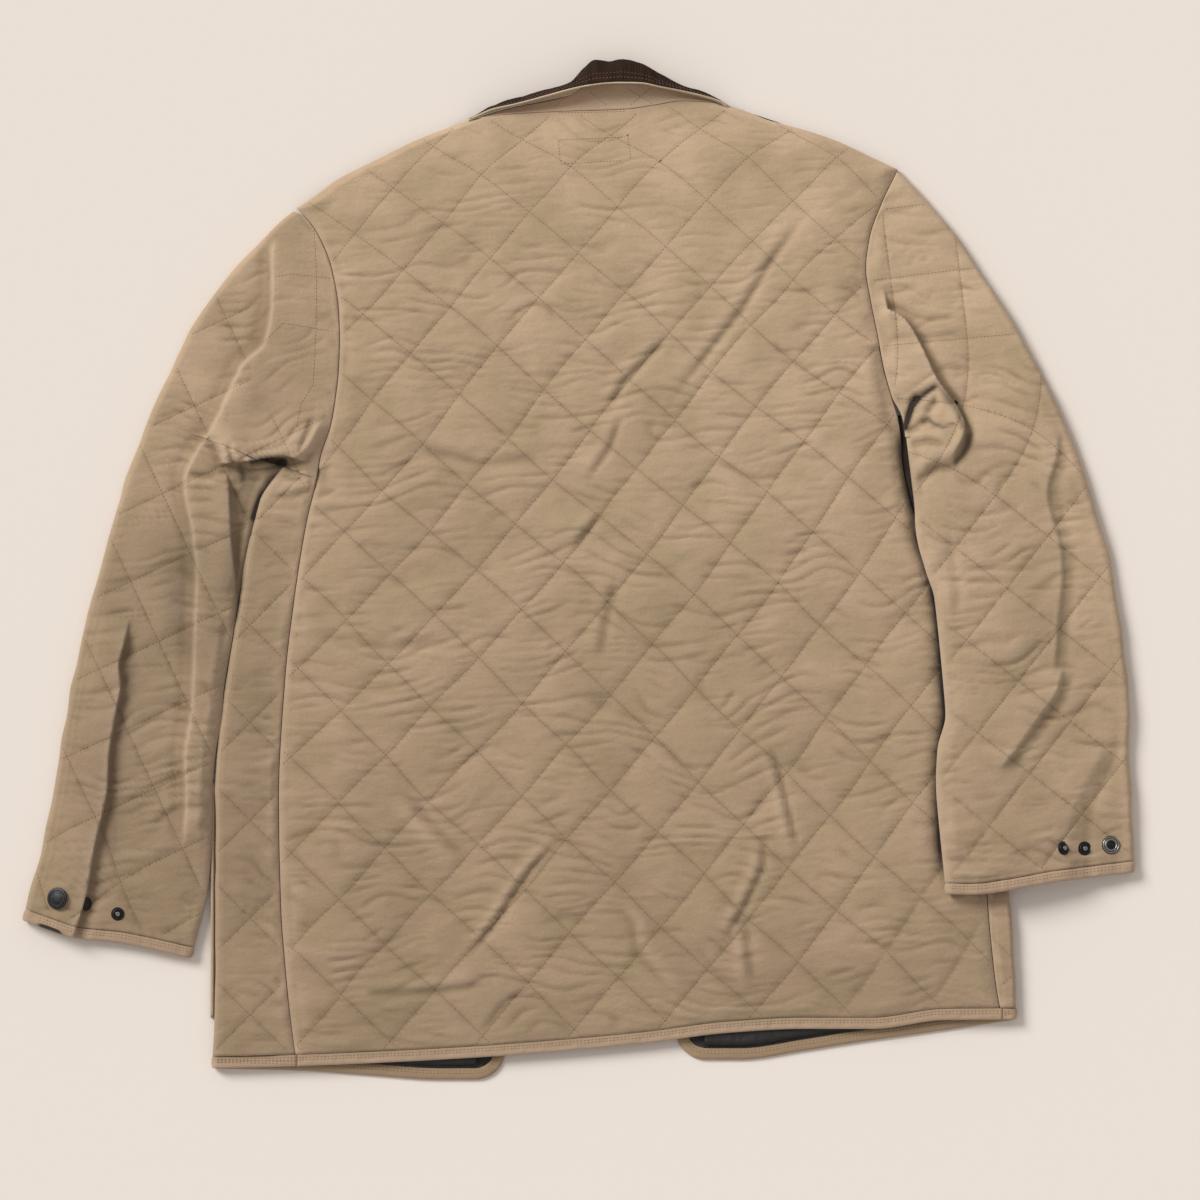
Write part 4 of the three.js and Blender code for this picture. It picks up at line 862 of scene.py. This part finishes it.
def sleeve_lines(sleeve, plan, within, reach):
    """Paths of both families of the sleeve's seams."""
    walk, runs = arange(-reach, reach, 0.1), []
    start, _, closer, _ = quilting_of(sleeve, 0 * walk, walk)
    for n in range(-reach, reach, 4):
        row = root(0 * walk - reach, reach, lambda r: quilting_of(sleeve, walk, r)[1] > n)
        runs += runs_of((n - start) / closer, walk, plan, within)
        runs += runs_of(walk, row, plan, within)
    return runs


def sleeve_grid(sleeve, rows, to_cuff, inset, proud, detailed):
    """A sleeve's points from its seam over the fold and back, its relief and way from the seam."""
    side = sleeve.side
    cuff_inner = sleeve.cuff[0][1]

    def spot(across):
        shifted = rows + to_cuff * (at(sleeve.cuff, across) - cuff_inner)
        return shifted, *sleeve_plan(sleeve, shifted, across)

    def outside(across):
        _, x, y = spot(across)
        return side * x > side * at(sleeve.armhole, y)

    closed = rows > sleeve.underarm
    outer = at(sleeve.outer, rows) - inset + proud
    hole = root(outer, outer - 300, outside) + SEAM_GAP / 2
    hole = hole + RIGHT_SEAM_IN * (side > 0) * smooth(-185, -165, rows)
    seam = at(sleeve.inner, rows) + inset - proud
    seam = seam + RIGHT_SEAM_IN * (side > 0) * (1 - smooth(-90, -40, rows))
    start = where(closed, seam, hole)
    radius = maximum(PANEL_TOP / 2 + proud - inset, 1)
    hollow = maximum(inset - proud, 0)
    until = maximum(outer - radius, start + 1.5)
    across = start + (until - start) * linspace(0, 1, SLEEVE_COLUMNS)
    across[:, 1:2], across[:, 2:3] = start + 0.4, start + 1.3
    column, row = across / SLEEVE_STEP, rows / SLEEVE_STEP + 0 * across
    reach = (until - start) * 0.005 / SLEEVE_STEP
    for family in (0, 1):
        found = quilting_of(sleeve, column[:, 4:-1], row[:, 4:-1])
        off = ((found[family] + 2) % 4 - 2) / maximum(found[2 + family], 0.2)
        column[:, 4:-1] -= where(np.abs(off) < reach, off, 0)
    across = np.sort(column * SLEEVE_STEP, axis=1)
    shifted, x, y = spot(across)
    away, to_fold = across - start, until - across
    rise, shift = sleeve_laps(sleeve, shifted, across)
    free = smooth(0, 10, away) * smooth(0, 12, to_fold)
    pushed = stack([rise * smooth(0, 14, away) * smooth(-4, 12, to_fold), 0 * x, 0 * y])
    for fold in sleeve.folds:
        pushed += stack(lap(x, y, *fold)) * free
    rise, over_x, over_y = pushed
    shift = shift * free
    for fold in sleeve.creases:
        rise = rise + crease(x, y, *fold) * smooth(-2, 5, away)
    sunk = dents(x, y, sleeve.dents) * smooth(2, 12, away)
    relief = 0 * across
    if detailed is not None:
        calm = smooth(0, 14, away) * (0.55 + 0.45 * smooth(0, 25, to_fold))
        puff = smooth(10, 60, until - start) + 0 * x
        for head_x, head_y in sleeve.flat_head:
            puff *= 1 - smooth(head_x - 12, head_x + 12, x) * smooth(head_y - 15, head_y + 15, y)
        rumple = (0.5 + 0.65 * puff) * crumple(x, y, 61 + side)
        first, second, _, _ = quilting_of(sleeve, across / SLEEVE_STEP, row)
        padded = quilt((first + second) / 2, (first - second) / 2, 2.6)
        relief = detailed * calm * (puff * padded + rumple)
        relief = relief + (1 - detailed) * 0.5 * cloud(across, shifted, 5, 30, 60)
        relief = relief + near_seam(away, shifted, 63 + side) + rise
    rest = sleeve_rest(sleeve, x, y, 120, 150)
    ends = seam_height(y, sleeve.shoulder)
    open_base = ends + (PANEL_TOP - ends) * smooth(0, SEAM_EASE, away)
    top = rest + where(closed, PANEL_TOP, open_base) + proud - inset
    drop = where(closed, radius - 0.3, 0 if detailed is None else SEAM_DROP)
    fall = turned(away, where(closed, radius, SEAM_ROLL), drop)
    relief = relief - sunk
    z = top + relief - fall
    low, high = sleeve_rest(sleeve, *spot(until)[1:]) + hollow, z[:, -1:]
    wave = 0 if detailed is None else 1.2 * cloud(rows + 0 * TURN, 0 * TURN, 24, 9, 67 + side)
    bulge = maximum(outer - until, 0.8) + wave * sin(TURN) ** 2
    turn_z = low + (high - low) * (1 + cos(TURN)) / 2
    low_across = start + (until - start) * linspace(1, 0, 25)[1:]
    low_across[:, -2:-1] = start + 1.2
    _, low_x, low_y = spot(low_across)
    lift = turned(low_across - start, where(closed, radius, 1), where(closed, radius - 0.3, 0))
    low_z = sleeve_rest(sleeve, low_x, low_y) + hollow + lift
    across = concatenate([across + shift, until + bulge * sin(TURN), low_across], 1)
    _, x, y = spot(across)
    x[:, :SLEEVE_COLUMNS] += over_x
    y[:, :SLEEVE_COLUMNS] += over_y
    z = concatenate([z, turn_z, low_z], 1)
    full = concatenate([relief, relief[:, -1:] * (1 + cos(TURN)) / 2, 0 * low_z], 1)
    return stack([x, y, z], -1), full, away


def sleeve_panel(name, sleeve, node):
    cuff_inner = sleeve.cuff[0][1] - BESIDE_BINDING
    rows = linspace(sleeve.top, cuff_inner, 279)
    rows = np.sort(np.append(rows, [sleeve.underarm - 0.15, sleeve.underarm + 0.15]))[:, None]
    to_cuff = smooth(cuff_inner - HEM_BEND, cuff_inner, rows)
    outer, relief, away = sleeve_grid(sleeve, rows, to_cuff, 0, 0, 1 - 0.7 * (to_cuff > 0.97))
    inner = sleeve_grid(sleeve, rows, to_cuff, WALL, 0, None)[0]
    wear_and_shade = np.zeros(relief.shape)
    face = np.s_[:, :SLEEVE_COLUMNS]
    # Pale wear at the seam, painted shade where the cloth sinks deep, and painted shade along the
    # listed paths.
    wear_and_shade[face] = SEAM_WORN * exp(-away / 6) - 0.3 * smooth(4, 7, -relief[face])
    wear_and_shade[face] -= dents(outer[face][..., 0], outer[face][..., 1], sleeve.shade)
    wear_and_shade[:, 86:101] = 0.08
    made = panel(name, outer, inner, relief, wear_and_shade, khaki_cotton, node)

    def plan(c, r):
        along, across = r * SLEEVE_STEP, c * SLEEVE_STEP
        bent = smooth(cuff_inner - HEM_BEND, cuff_inner, along)
        along = along + bent * (at(sleeve.cuff, across) - sleeve.cuff[0][1])
        return sleeve_plan(sleeve, along, across)

    def within(c, r, x, y):
        along, across = r * SLEEVE_STEP, c * SLEEVE_STEP
        fits = sleeve.side * (x - at(sleeve.armhole, y)) > 4
        fits &= (along < sleeve.underarm) | (across > at(sleeve.inner, along) + 1)
        fits &= across < at(sleeve.outer, along) - 1
        for head_x, head_y in sleeve.flat_head:
            fits &= (x < head_x) | (y < head_y)
        return fits & (along > sleeve.top + 3) & (along < cuff_inner - 2)

    seams = sleeve_lines(sleeve, plan, within, 32) + sleeve.rows
    sewing = sew(name + "_quilting", made, seams)
    return made


left_sleeve = sleeve_panel("left_sleeve", LEFT_SLEEVE, "sleeve_left")
right_sleeve = sleeve_panel("right_sleeve", RIGHT_SLEEVE, "sleeve_right")

# ---- Bindings: strips of the same cotton, folded over the raw edges of the hems, the cuffs and the
# fronts, and held by two rows of stitching near their inner edge.
def finish_binding(name, made, rows):
    sewing = sew(name + "_sewing", made, rows, 2.4, 0.9, 0.6, binding_thread)


def bound_edge(name, edge, inward, through, node):
    """A strip folded over an edge: points of the edge, the way into the panel and across it."""
    v = np.array([0, 0.02, 0.06, 0.12, 0.2, 0.32, 0.46, 0.6, 0.74, 0.86, 0.93, 0.98, 1.0])
    steps = concatenate([[0], np.cumsum(np.linalg.norm(np.diff(edge, axis=0), axis=1))])[:, None]
    pucker = 0.45 * cloud(steps + 0 * v, 0 * steps + 3 * v, 4.5, 2, 71)
    relief = pucker * sin(pi * v) + 0.7 * sin(pi * v) ** 0.7
    thickness = WALL + TOUCH
    rounded = turned(v * BINDING, 2.4, thickness / 2 - 0.3) + turned((1 - v) * BINDING, 1.2, 0.6)
    across = edge[:, None] + inward[:, None] * ((BINDING + OVERLAP) * v)[None, :, None]
    outer = across + through[:, None] * (thickness + relief - rounded)[:, :, None]
    under = turned(v * BINDING, 2.4, thickness / 2 - 0.3)
    inner = across + through[:, None] * (under + 0 * relief)[:, :, None]
    wear_and_shade = 0.5 + 0.3 * cos(pi * v)
    relief = relief + 0 * steps
    made = panel(name, outer, inner, relief, wear_and_shade, binding_cotton, node)
    rows = [(across[:, 0] + inward * (BINDING - gap))[:, :2] for gap in (2.2, 4.4)]
    finish_binding(name, made, rows)


binding_cotton = brushed_cotton(
    "Khaki cotton binding, worn pink", "B79E83", "987F68", "BBA189", "A28A6E"
)
binding_thread = thread_material("Khaki binding thread", "7D634D")


def stations(count):
    return 4 * round(count / 4) + 1


def cuff_binding(name, sleeve, node):
    share = linspace(0, 1, 9)[:, None]
    proud = -0.6 + 1.5 * (1 - (2 * share - 1) ** 4)
    rows = sleeve.cuff[0][1] - (BINDING + OVERLAP) * (1 - share)
    outer, relief, away = sleeve_grid(sleeve, rows, 0 * share + 1, 0, proud, 0)
    inner = sleeve_grid(sleeve, rows, 0 * share + 1, WALL, TOUCH, None)[0]
    # Painted shade: the dark mouth under the left cuff's folded flap.
    painted_mouth_shade = 3 * exp(-(((outer[..., 0] + 478) / 10) ** 4)) * smooth(0.62, 0.85, share)
    wear_and_shade = 0.35 + 0.2 * share - painted_mouth_shade
    made = panel(name, outer, inner, relief, wear_and_shade, binding_cotton, node)
    finish_binding(name, made, [outer[k, 3:86, :2] for k in (2, 4)])


cuff_binding("left_cuff_binding", LEFT_SLEEVE, "cuff_binding_left")
cuff_binding("right_cuff_binding", RIGHT_SLEEVE, "cuff_binding_right")
hem_ends = at(LEFT_EDGE, LEFT_END) + OVERLAP, at(RIGHT_EDGE, RIGHT_END) - OVERLAP
hem_x = linspace(*hem_ends, stations(300))
hem_edge = stack([hem_x, at(BACK_HEM, hem_x), 0 * hem_x + PANEL_TOP - WALL], -1)
inward, through = 0 * hem_edge + (0, 1, 0), 0 * hem_edge + (0, 0, 1)
bound_edge("back_hem_binding", hem_edge, inward, through, "hem_binding_back")


def front_binding(name, front, node):
    """Runs from the side seam over the fold, along the hem, round the corner and up the edge."""
    side, hem, edge = front.side, front.hem, front.edge
    seam_x = float(at(front.seam, LEFT_END if side < 0 else RIGHT_END)) + OVERLAP * side
    radius = PANEL_TOP / 2
    turn_x = front.fold[0][1] - side * radius
    rows = [(x, at(BACK_HEM, x), PANEL_TOP, 0, 1, 0, 1) for x in linspace(seam_x, turn_x, 20)[:-1]]
    for angle in (0, *TURN):
        out, up = sin(angle), cos(angle)
        x, z = turn_x + side * radius * out, radius + radius * up
        rows.append((x, at(hem if z < radius else BACK_HEM, x), z, 0, 1, side * out, up))
    hem_y = float(at(hem, side * 90))
    centre_x, centre_y = float(at(edge, hem_y)) + side * CORNER, hem_y + CORNER
    rows += [(x, at(hem, x), 0, 0, 1, 0, -1) for x in linspace(turn_x, centre_x, 90)[1:]]
    for angle in linspace(0, pi / 2, 16)[1:]:
        in_x, in_y = side * sin(angle), cos(angle)
        rows.append((centre_x - CORNER * in_x, centre_y - CORNER * in_y, 0, in_x, in_y, 0, -1))
    rows += [(at(edge, y), y, 0, side, 0, 0, -1) for y in linspace(centre_y, 324, 80)[1:]]
    rows = np.array(rows, float)[: 4 * ((len(rows) - 1) // 4) + 1]
    inward = rows[:, [3, 4, 4]] * (1, 1, 0)
    through = rows[:, [5, 5, 6]] * (1, 0, 1)
    bound_edge(name, rows[:, :3] - through * (WALL + TOUCH), inward, through, node)


front_binding("left_front_binding", LEFT_FRONT, "front_binding_left")
front_binding("right_front_binding", RIGHT_FRONT, "front_binding_right")


# ---- Patch pockets: a flat piece of the same cotton on each front, edge-stitched. They lie under
# the fronts, and the left one's edge shows beside the side fold.
def patch_pocket(name, front, node):
    side = front.side
    low, high, proud = front.pocket
    rows = linspace(low, high, stations(72))[:, None]
    start = at(front.fold, rows) + side * proud
    x = start - side * linspace(0, 1, 49) ** 2 * (POCKET_WIDTH + proud)
    y = rows + 0 * x
    away = minimum(np.abs(x - start), minimum(rows - low, high - rows))
    beyond = side * (x - at(front.fold, rows))
    roll = 4.6 * smooth(-0.6, 1.6, beyond) + 0.5 * cloud(y, 0 * x, 13, 9, 77)
    outer = stack([x, y, PAD + roll * smooth(0, 1, beyond + 1) - turned(away, 1.6, 1.2)], -1)
    inner = stack([x, y, 0 * x], -1)
    made = panel(name, outer, inner, 0 * x, 0.5 * exp(-away / 4), khaki_cotton, node)
    edge = stack([start[:, 0] - side * 2.8, rows[:, 0]], -1)
    sewing = sew(name + "_sewing", made, [edge], 2.6, 0.9, 0.6)


patch_pocket("left_pocket", LEFT_FRONT, "pocket_left")
patch_pocket("right_pocket", RIGHT_FRONT, "pocket_right")


# ---- Lining: thin near-black twill inside the fronts. Only its lower edge shows, between the hem
# of the back and the hems of the fronts.
def lining_cloth():
    material, tree, shader = new_material("Black acetate twill lining", 0.5, code="1E1B1C")
    place = add_node(tree, "TexCoord").outputs["Object"]
    bumped(tree, shader, noise(tree, place, 60.0), 0.003)
    return material


black_lining = lining_cloth()


def front_lining(name, front, node):
    side = front.side
    edge_x = side * (abs(front.edge[0][1]) + 2 * BINDING + 6)
    to_x = front.fold[0][1] - side * 26
    x = linspace(edge_x, to_x, stations(80))[:, None]
    share = linspace(0, 1, 17)
    y = at(front.hem, x) + BINDING + 3 + 70 * share
    x = x + 0 * y
    wave = 0.5 * cloud(x, y, 25, 30, 81) * smooth(0, 0.2, share)
    low, high = (
        stack([x, y, WALL + PAD + 2 * TOUCH + thick + wave], -1) for thick in (0, 0.8)
    )
    made = panel(name, high, low, wave, 0 * x, black_lining, node)


front_lining("left_lining", LEFT_FRONT, "lining_left")
front_lining("right_lining", RIGHT_FRONT, "lining_right")

# ---- Collar: a quilted stand sewn to the neck, and above it a fall of brown cord that rolls over,
# with a cotton undercollar inside and a cream piping along its edge.
# along the collar: roll, middle and edge in y, then the heights of middle and edge
COLLAR = [
    (-101, 405.5, 406.3, 405.6, 6, 11.5), (-92, 409.5, 411, 410, 7.5, 15),
    (-80, 413, 417, 415, 9, 19), (-60, 418, 424, 419.5, 12, 27), (-30, 424, 432.5, 427.5, 15, 34),
    (-10, 429, 438.5, 433, 17, 38), (2, 436, 450.5, 435.6, 18, 39), (14, 442, 458.5, 437.6, 20, 40),
    (24, 443, 457.5, 438.6, 20, 40.5), (36, 444, 459.5, 439, 20, 41), (53, 443, 456, 438.6, 20, 40),
    (71, 438.5, 446.5, 435.3, 17, 35), (90, 432.5, 437, 431.6, 13, 28),
    (114, 426.5, 428.4, 426, 9, 20), (126, 421.5, 422.6, 421.8, 7, 15),
    (132.5, 417, 417.6, 417.2, 6, 11.5),
]
ROLL_Z = 2.6
STAND_THICK, FALL_THICK, UNDER_THICK, PIPING_THICK, PIPING_FROM = 2.6, 1.6, 1.2, 2.0, 0.1
LOWERED = 0.75
collar_x = linspace(-101, 132.5, 149)[None, :]
roll_y, bulge_y, edge_y, bulge_z, edge_z = [
    at(np.array(COLLAR, float)[:, [0, n]], collar_x) for n in range(1, 6)
]
bulge_z, edge_z = (ROLL_Z + (z - ROLL_Z) * LOWERED for z in (bulge_z, edge_z))


def fall_point(u, depth):
    """Points of the collar's fall from its roll, 0, to its edge, 1, moved in from its face."""
    curve, slope = [], []
    for a, middle, c in ((roll_y, bulge_y, edge_y), (ROLL_Z, bulge_z, edge_z)):
        b = 2 * middle - (a + c) / 2
        curve.append((1 - u) ** 2 * a + 2 * u * (1 - u) * b + u**2 * c)
        slope.append(2 * (1 - u) * (b - a) + 2 * u * (c - b))
    long = hypot(*slope)
    y, z = curve[0] - depth * slope[1] / long, curve[1] + depth * slope[0] / long
    return stack([collar_x + 0 * y, y, z], -1)


def collar_layer(name, span, near, far, material, node, crumpled):
    """One layer of the fall, from its face, near, to its back, far. The piping's flat is narrow."""
    u = linspace(*span)[:, None]
    x, down = collar_x + 0 * u, 40 * u + 0 * collar_x
    relief = crumpled * (0.8 * cloud(x, down, 16, 14, 91) + 0.4 * cloud(x, down, 6, 20, 92))
    outer = fall_point(u, near - relief)
    inner = fall_point(u, far + 0 * relief)
    made = panel(name, outer, inner, relief, 0.15 + 0 * relief, material, node)
    return made


def brown_cord():
    """Fine cord in dark brown, with wales that run up the collar, worn paler on its ridges."""
    material, tree, shader = new_material("Worn brown needlecord", 0.95, 0.1)
    place = add_node(tree, "TexCoord").outputs["Object"]
    stood = add_node(tree, "Attribute", attribute_name="stood").outputs["Fac"]
    wave = {"Vector": place, "Scale": 130.0, "Distortion": 1.2, "Detail": 1.0}
    wales = add_node(tree, "TexWave", wave, bands_direction="X").outputs["Fac"]
    streak = add_node(tree, "Mapping", {"Vector": place, "Scale": (1.0, 0.2, 0.2)}).outputs[0]
    body = mixed(tree, noise(tree, streak, 190.0, 4.0), rgb("1D1512"), rgb("3D2D26"))
    body = mixed(tree, ramp(tree, stood, 0, 1, 0, 0.35), body, rgb("5C4538"))
    tree.links.new(body, shader.inputs["Base Color"])
    bumped(tree, shader, wales, 0.0003)
    return material


collar_cord = brown_cord()
cream_cotton = brushed_cotton("Cream cotton piping", "D2C09F", "C2AE8C", "DCCDB2", "C2AE8C")
under_from = FALL_THICK + TOUCH
collar_cloth = collar_layer(
    "collar_fall_cord", (0, 1, 33), 0, FALL_THICK, collar_cord, "collar_fall", 1
)
pink_thread = thread_material("Faded pink topstitching thread", "8C6A5C")
edge_line, second_line = (fall_point(u, 0)[0, :, :2] for u in (0.94, 0.87))
sew("collar_topstitching", collar_cloth, [edge_line[6:-4]], 1.7, 1.5, 0.9, pink_thread, 0.2)
sew("collar_second_row", collar_cloth, [second_line[30:-20]], 2.4, 0.8, 0.5, pink_thread)
collar_layer(
    "collar_underside", (0, 1, 17), under_from + UNDER_THICK, under_from, khaki_cotton,
    "undercollar", 0,
)
collar_layer(
    "collar_cream_piping", (1, 1.01, 5), PIPING_FROM, PIPING_FROM + PIPING_THICK, cream_cotton,
    "collar_piping", 0,
)
u = linspace(0, 1, 17)[:, None]
seam_y = at(NECK_SEAM, collar_x) + 0.35
meeting_y = fall_point(np.zeros((1, 1)), under_from + UNDER_THICK)[:, :, 1] - TOUCH
stand_y = seam_y + (maximum(meeting_y, seam_y + 0.4) - seam_y) * u
stand_z = PANEL_TOP + (ROLL_Z + STAND_THICK - TOUCH - PANEL_TOP) * u + 0 * collar_x
stand_x = collar_x + 0 * u
stand_relief = 0.9 * cloud(stand_x, stand_y, 22, 9, 95)
stand_relief *= sin(pi * clip(u, 0.02, 1)) ** 0.5
outer = stack([stand_x, stand_y, stand_z + stand_relief - turned(stand_y - seam_y, 2, 0.6)], -1)
inner = stack([stand_x, stand_y, stand_z - STAND_THICK], -1)
# Pale wear on the stand, and painted shadow along its top edge under the undercollar, darkest at
# both ends.
at_ends = 1 - smooth(-30, 0, collar_x) * (1 - smooth(90, 110, collar_x))
stand_wear_and_shade = 0.6 - (0.5 + 1.0 * at_ends) * smooth(0.7, 1, u)
collar_stand = panel(
    "collar_quilted_stand", outer, inner, stand_relief, stand_wear_and_shade, khaki_cotton, "collar_stand"
)
STAND_LINES = [
    [(39.6, 434), (66, 418)], [(64, 434), (43, 417)], [(8, 430), (24, 417)],
    [(-6, 431), (-26, 415)],
]
sew("collar_stand_quilting", collar_stand, STAND_LINES)

# ---- Snaps: pressed brass with a gunmetal finish, riveted through the cuffs. The caps show their
# flat heads, the others show a stud's bright post or a socket's ring.
# name, kind, x, y, radius, lean to x and y, node
SNAPS = [
    ("left_cap", "cap", -471, -296, 9.7, (-1.1, 0.3), "snap_cap_left"),
    ("left_inner_cap", "cap", -446, -301, 6.2, (1.0, 0), "snap_cap_left_inner"),
    ("left_stud", "stud", -417, -310, 6.0, (0, 0), "snap_stud_left"),
    ("right_outer_stud", "stud", 434, -251, 6.2, (3.0, 0.9), "snap_stud_right_outer"),
    ("right_stud", "stud", 453, -251, 6.3, (0, 0), "snap_stud_right"),
    ("right_socket", "socket", 477, -248, 8.4, (0, 0), "snap_socket_right"),
]


# share of the radius, then depth, height and rounding of a disc, or thickness and height of a ring
SNAP_PARTS = {
    "cap": [(1, 1.8, 0, 0.7), (0.74, 0.55, 1.75), (0.5, 0.9, 1.4, 0.5)],
    "stud": [(1, 1.0, 0, 0.4), (0.62, 0.8, 1.1), (0.34, 3.2, 0.5, 0.5)],
    "socket": [(1, 0.8, 0, 0.3), (0.84, 0.8, 1.0), (0.6, 1.1, 0.9), (0.2, 0.5, 0.9)],
}
BRIGHT_PARTS = {"cap": (), "stud": (2,), "socket": (1, 2)}


def worn_metal(name, code, roughness):
    material, tree, shader = new_material(name, roughness)
    rubbed = noise(tree, add_node(tree, "TexCoord").outputs["Object"], 900.0)
    tree.links.new(mixed(tree, rubbed, rgb(code), rgb("454445")), shader.inputs["Base Color"])
    bumped(tree, shader, rubbed, 0.0001)
    shader.inputs["Metallic"].default_value = 0.9
    return material


gunmetal = worn_metal("Gunmetal-plated brass", "121215", 0.42)
bright_metal = worn_metal("Nickel-plated brass", "B9B6B0", 0.3)


def lay_on(x, y, lean):
    """Height and facing of the sleeve's cloth at a snap that leans over."""
    sleeve, heights, facing = left_sleeve if x < 0 else right_sleeve, [], Vector((*lean, 0))
    for dx, dy in ((0, 0), (4, 0), (-4, 0), (0, 4), (0, -4)):
        _, spot, normal, _ = sleeve.ray_cast(((x + dx) / 1000, (y + dy) / 1000, SKY), (0, 0, -1))
        heights.append(spot.z)
        facing += normal
    return float(np.mean(heights)), facing.normalized()


def disc(radius, depth, height, rounding):
    bpy.ops.object.select_all(action="DESELECT")
    bpy.ops.mesh.primitive_cylinder_add(
        vertices=48, radius=radius / 1000, depth=depth / 1000,
        location=(0, 0, (height + depth / 2) / 1000),
    )
    made = bpy.context.object
    bevel = made.modifiers.new("rounding", "BEVEL")
    bevel.width, bevel.segments, bevel.angle_limit = rounding / 1000, 3, 0.6
    bpy.ops.object.modifier_apply(modifier=bevel.name)
    return made


def ring(radius, thick, height):
    bpy.ops.object.select_all(action="DESELECT")
    bpy.ops.mesh.primitive_torus_add(
        major_segments=48, minor_segments=12, major_radius=radius / 1000,
        minor_radius=thick / 1000, location=(0, 0, height / 1000),
    )
    return bpy.context.object


for name, kind, x, y, radius, lean, node in SNAPS:
    parts = []
    for n, (share, *sizes) in enumerate(SNAP_PARTS[kind]):
        parts.append((disc if len(sizes) == 3 else ring)(radius * share, *sizes))
        parts[n].data.materials.append(bright_metal if n in BRIGHT_PARTS[kind] else gunmetal)
    bpy.ops.object.select_all(action="DESELECT")
    for snap in parts[::-1]:
        snap.select_set(True)
    bpy.context.view_layer.objects.active = snap
    bpy.ops.object.transform_apply(location=True, rotation=True, scale=True)
    bpy.ops.object.join()
    height, facing = lay_on(x, y, lean)
    snap.location = (x / 1000, y / 1000, height - 0.0004 + 0.0007 * abs(lean[0]))
    snap.rotation_euler = facing.to_track_quat("Z", "Y").to_euler()
    bpy.ops.object.transform_apply(location=True, rotation=True, scale=True)
    bpy.ops.object.shade_smooth_by_angle(angle=0.6)
    snap.name = name
    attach(snap, "root")
    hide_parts(node)

# ---- Room: a pale floor, one large soft light from the upper left, and a camera straight above.
floor_material = new_material("Pale matt paper", 0.95, code="EDE5DE")[0]
bpy.ops.object.select_all(action="DESELECT")
bpy.ops.mesh.primitive_plane_add(size=6, location=(0, 0, -0.0004))
floor = bpy.context.object
floor.name = "floor"
floor.data.materials.append(floor_material)
bpy.ops.object.light_add(type="SUN", location=(-1.5, 1.5, 1.5))
light = bpy.context.object
light.name = "window_light"
light.data.energy = 2.5
light.data.angle = 0.45
light.data.color = (1.0, 0.98, 0.95)
light.rotation_euler = Vector((1.0, -0.8, -0.95)).to_track_quat("-Z", "Y").to_euler()
world = bpy.data.worlds.new("Studio")
world.use_nodes = True
world.node_tree.nodes["Background"].inputs["Color"].default_value = rgb("FFFAF5")
world.node_tree.nodes["Background"].inputs["Strength"].default_value = 0.5
bpy.context.scene.world = world
bpy.ops.object.camera_add(location=(0.0171, -0.02745, 2.5), rotation=(0, 0, 0))
camera = bpy.context.object
camera.data.type = "ORTHO"
camera.data.ortho_scale = 1.08
bpy.context.scene.camera = camera
bpy.context.scene.view_settings.view_transform = "Standard"
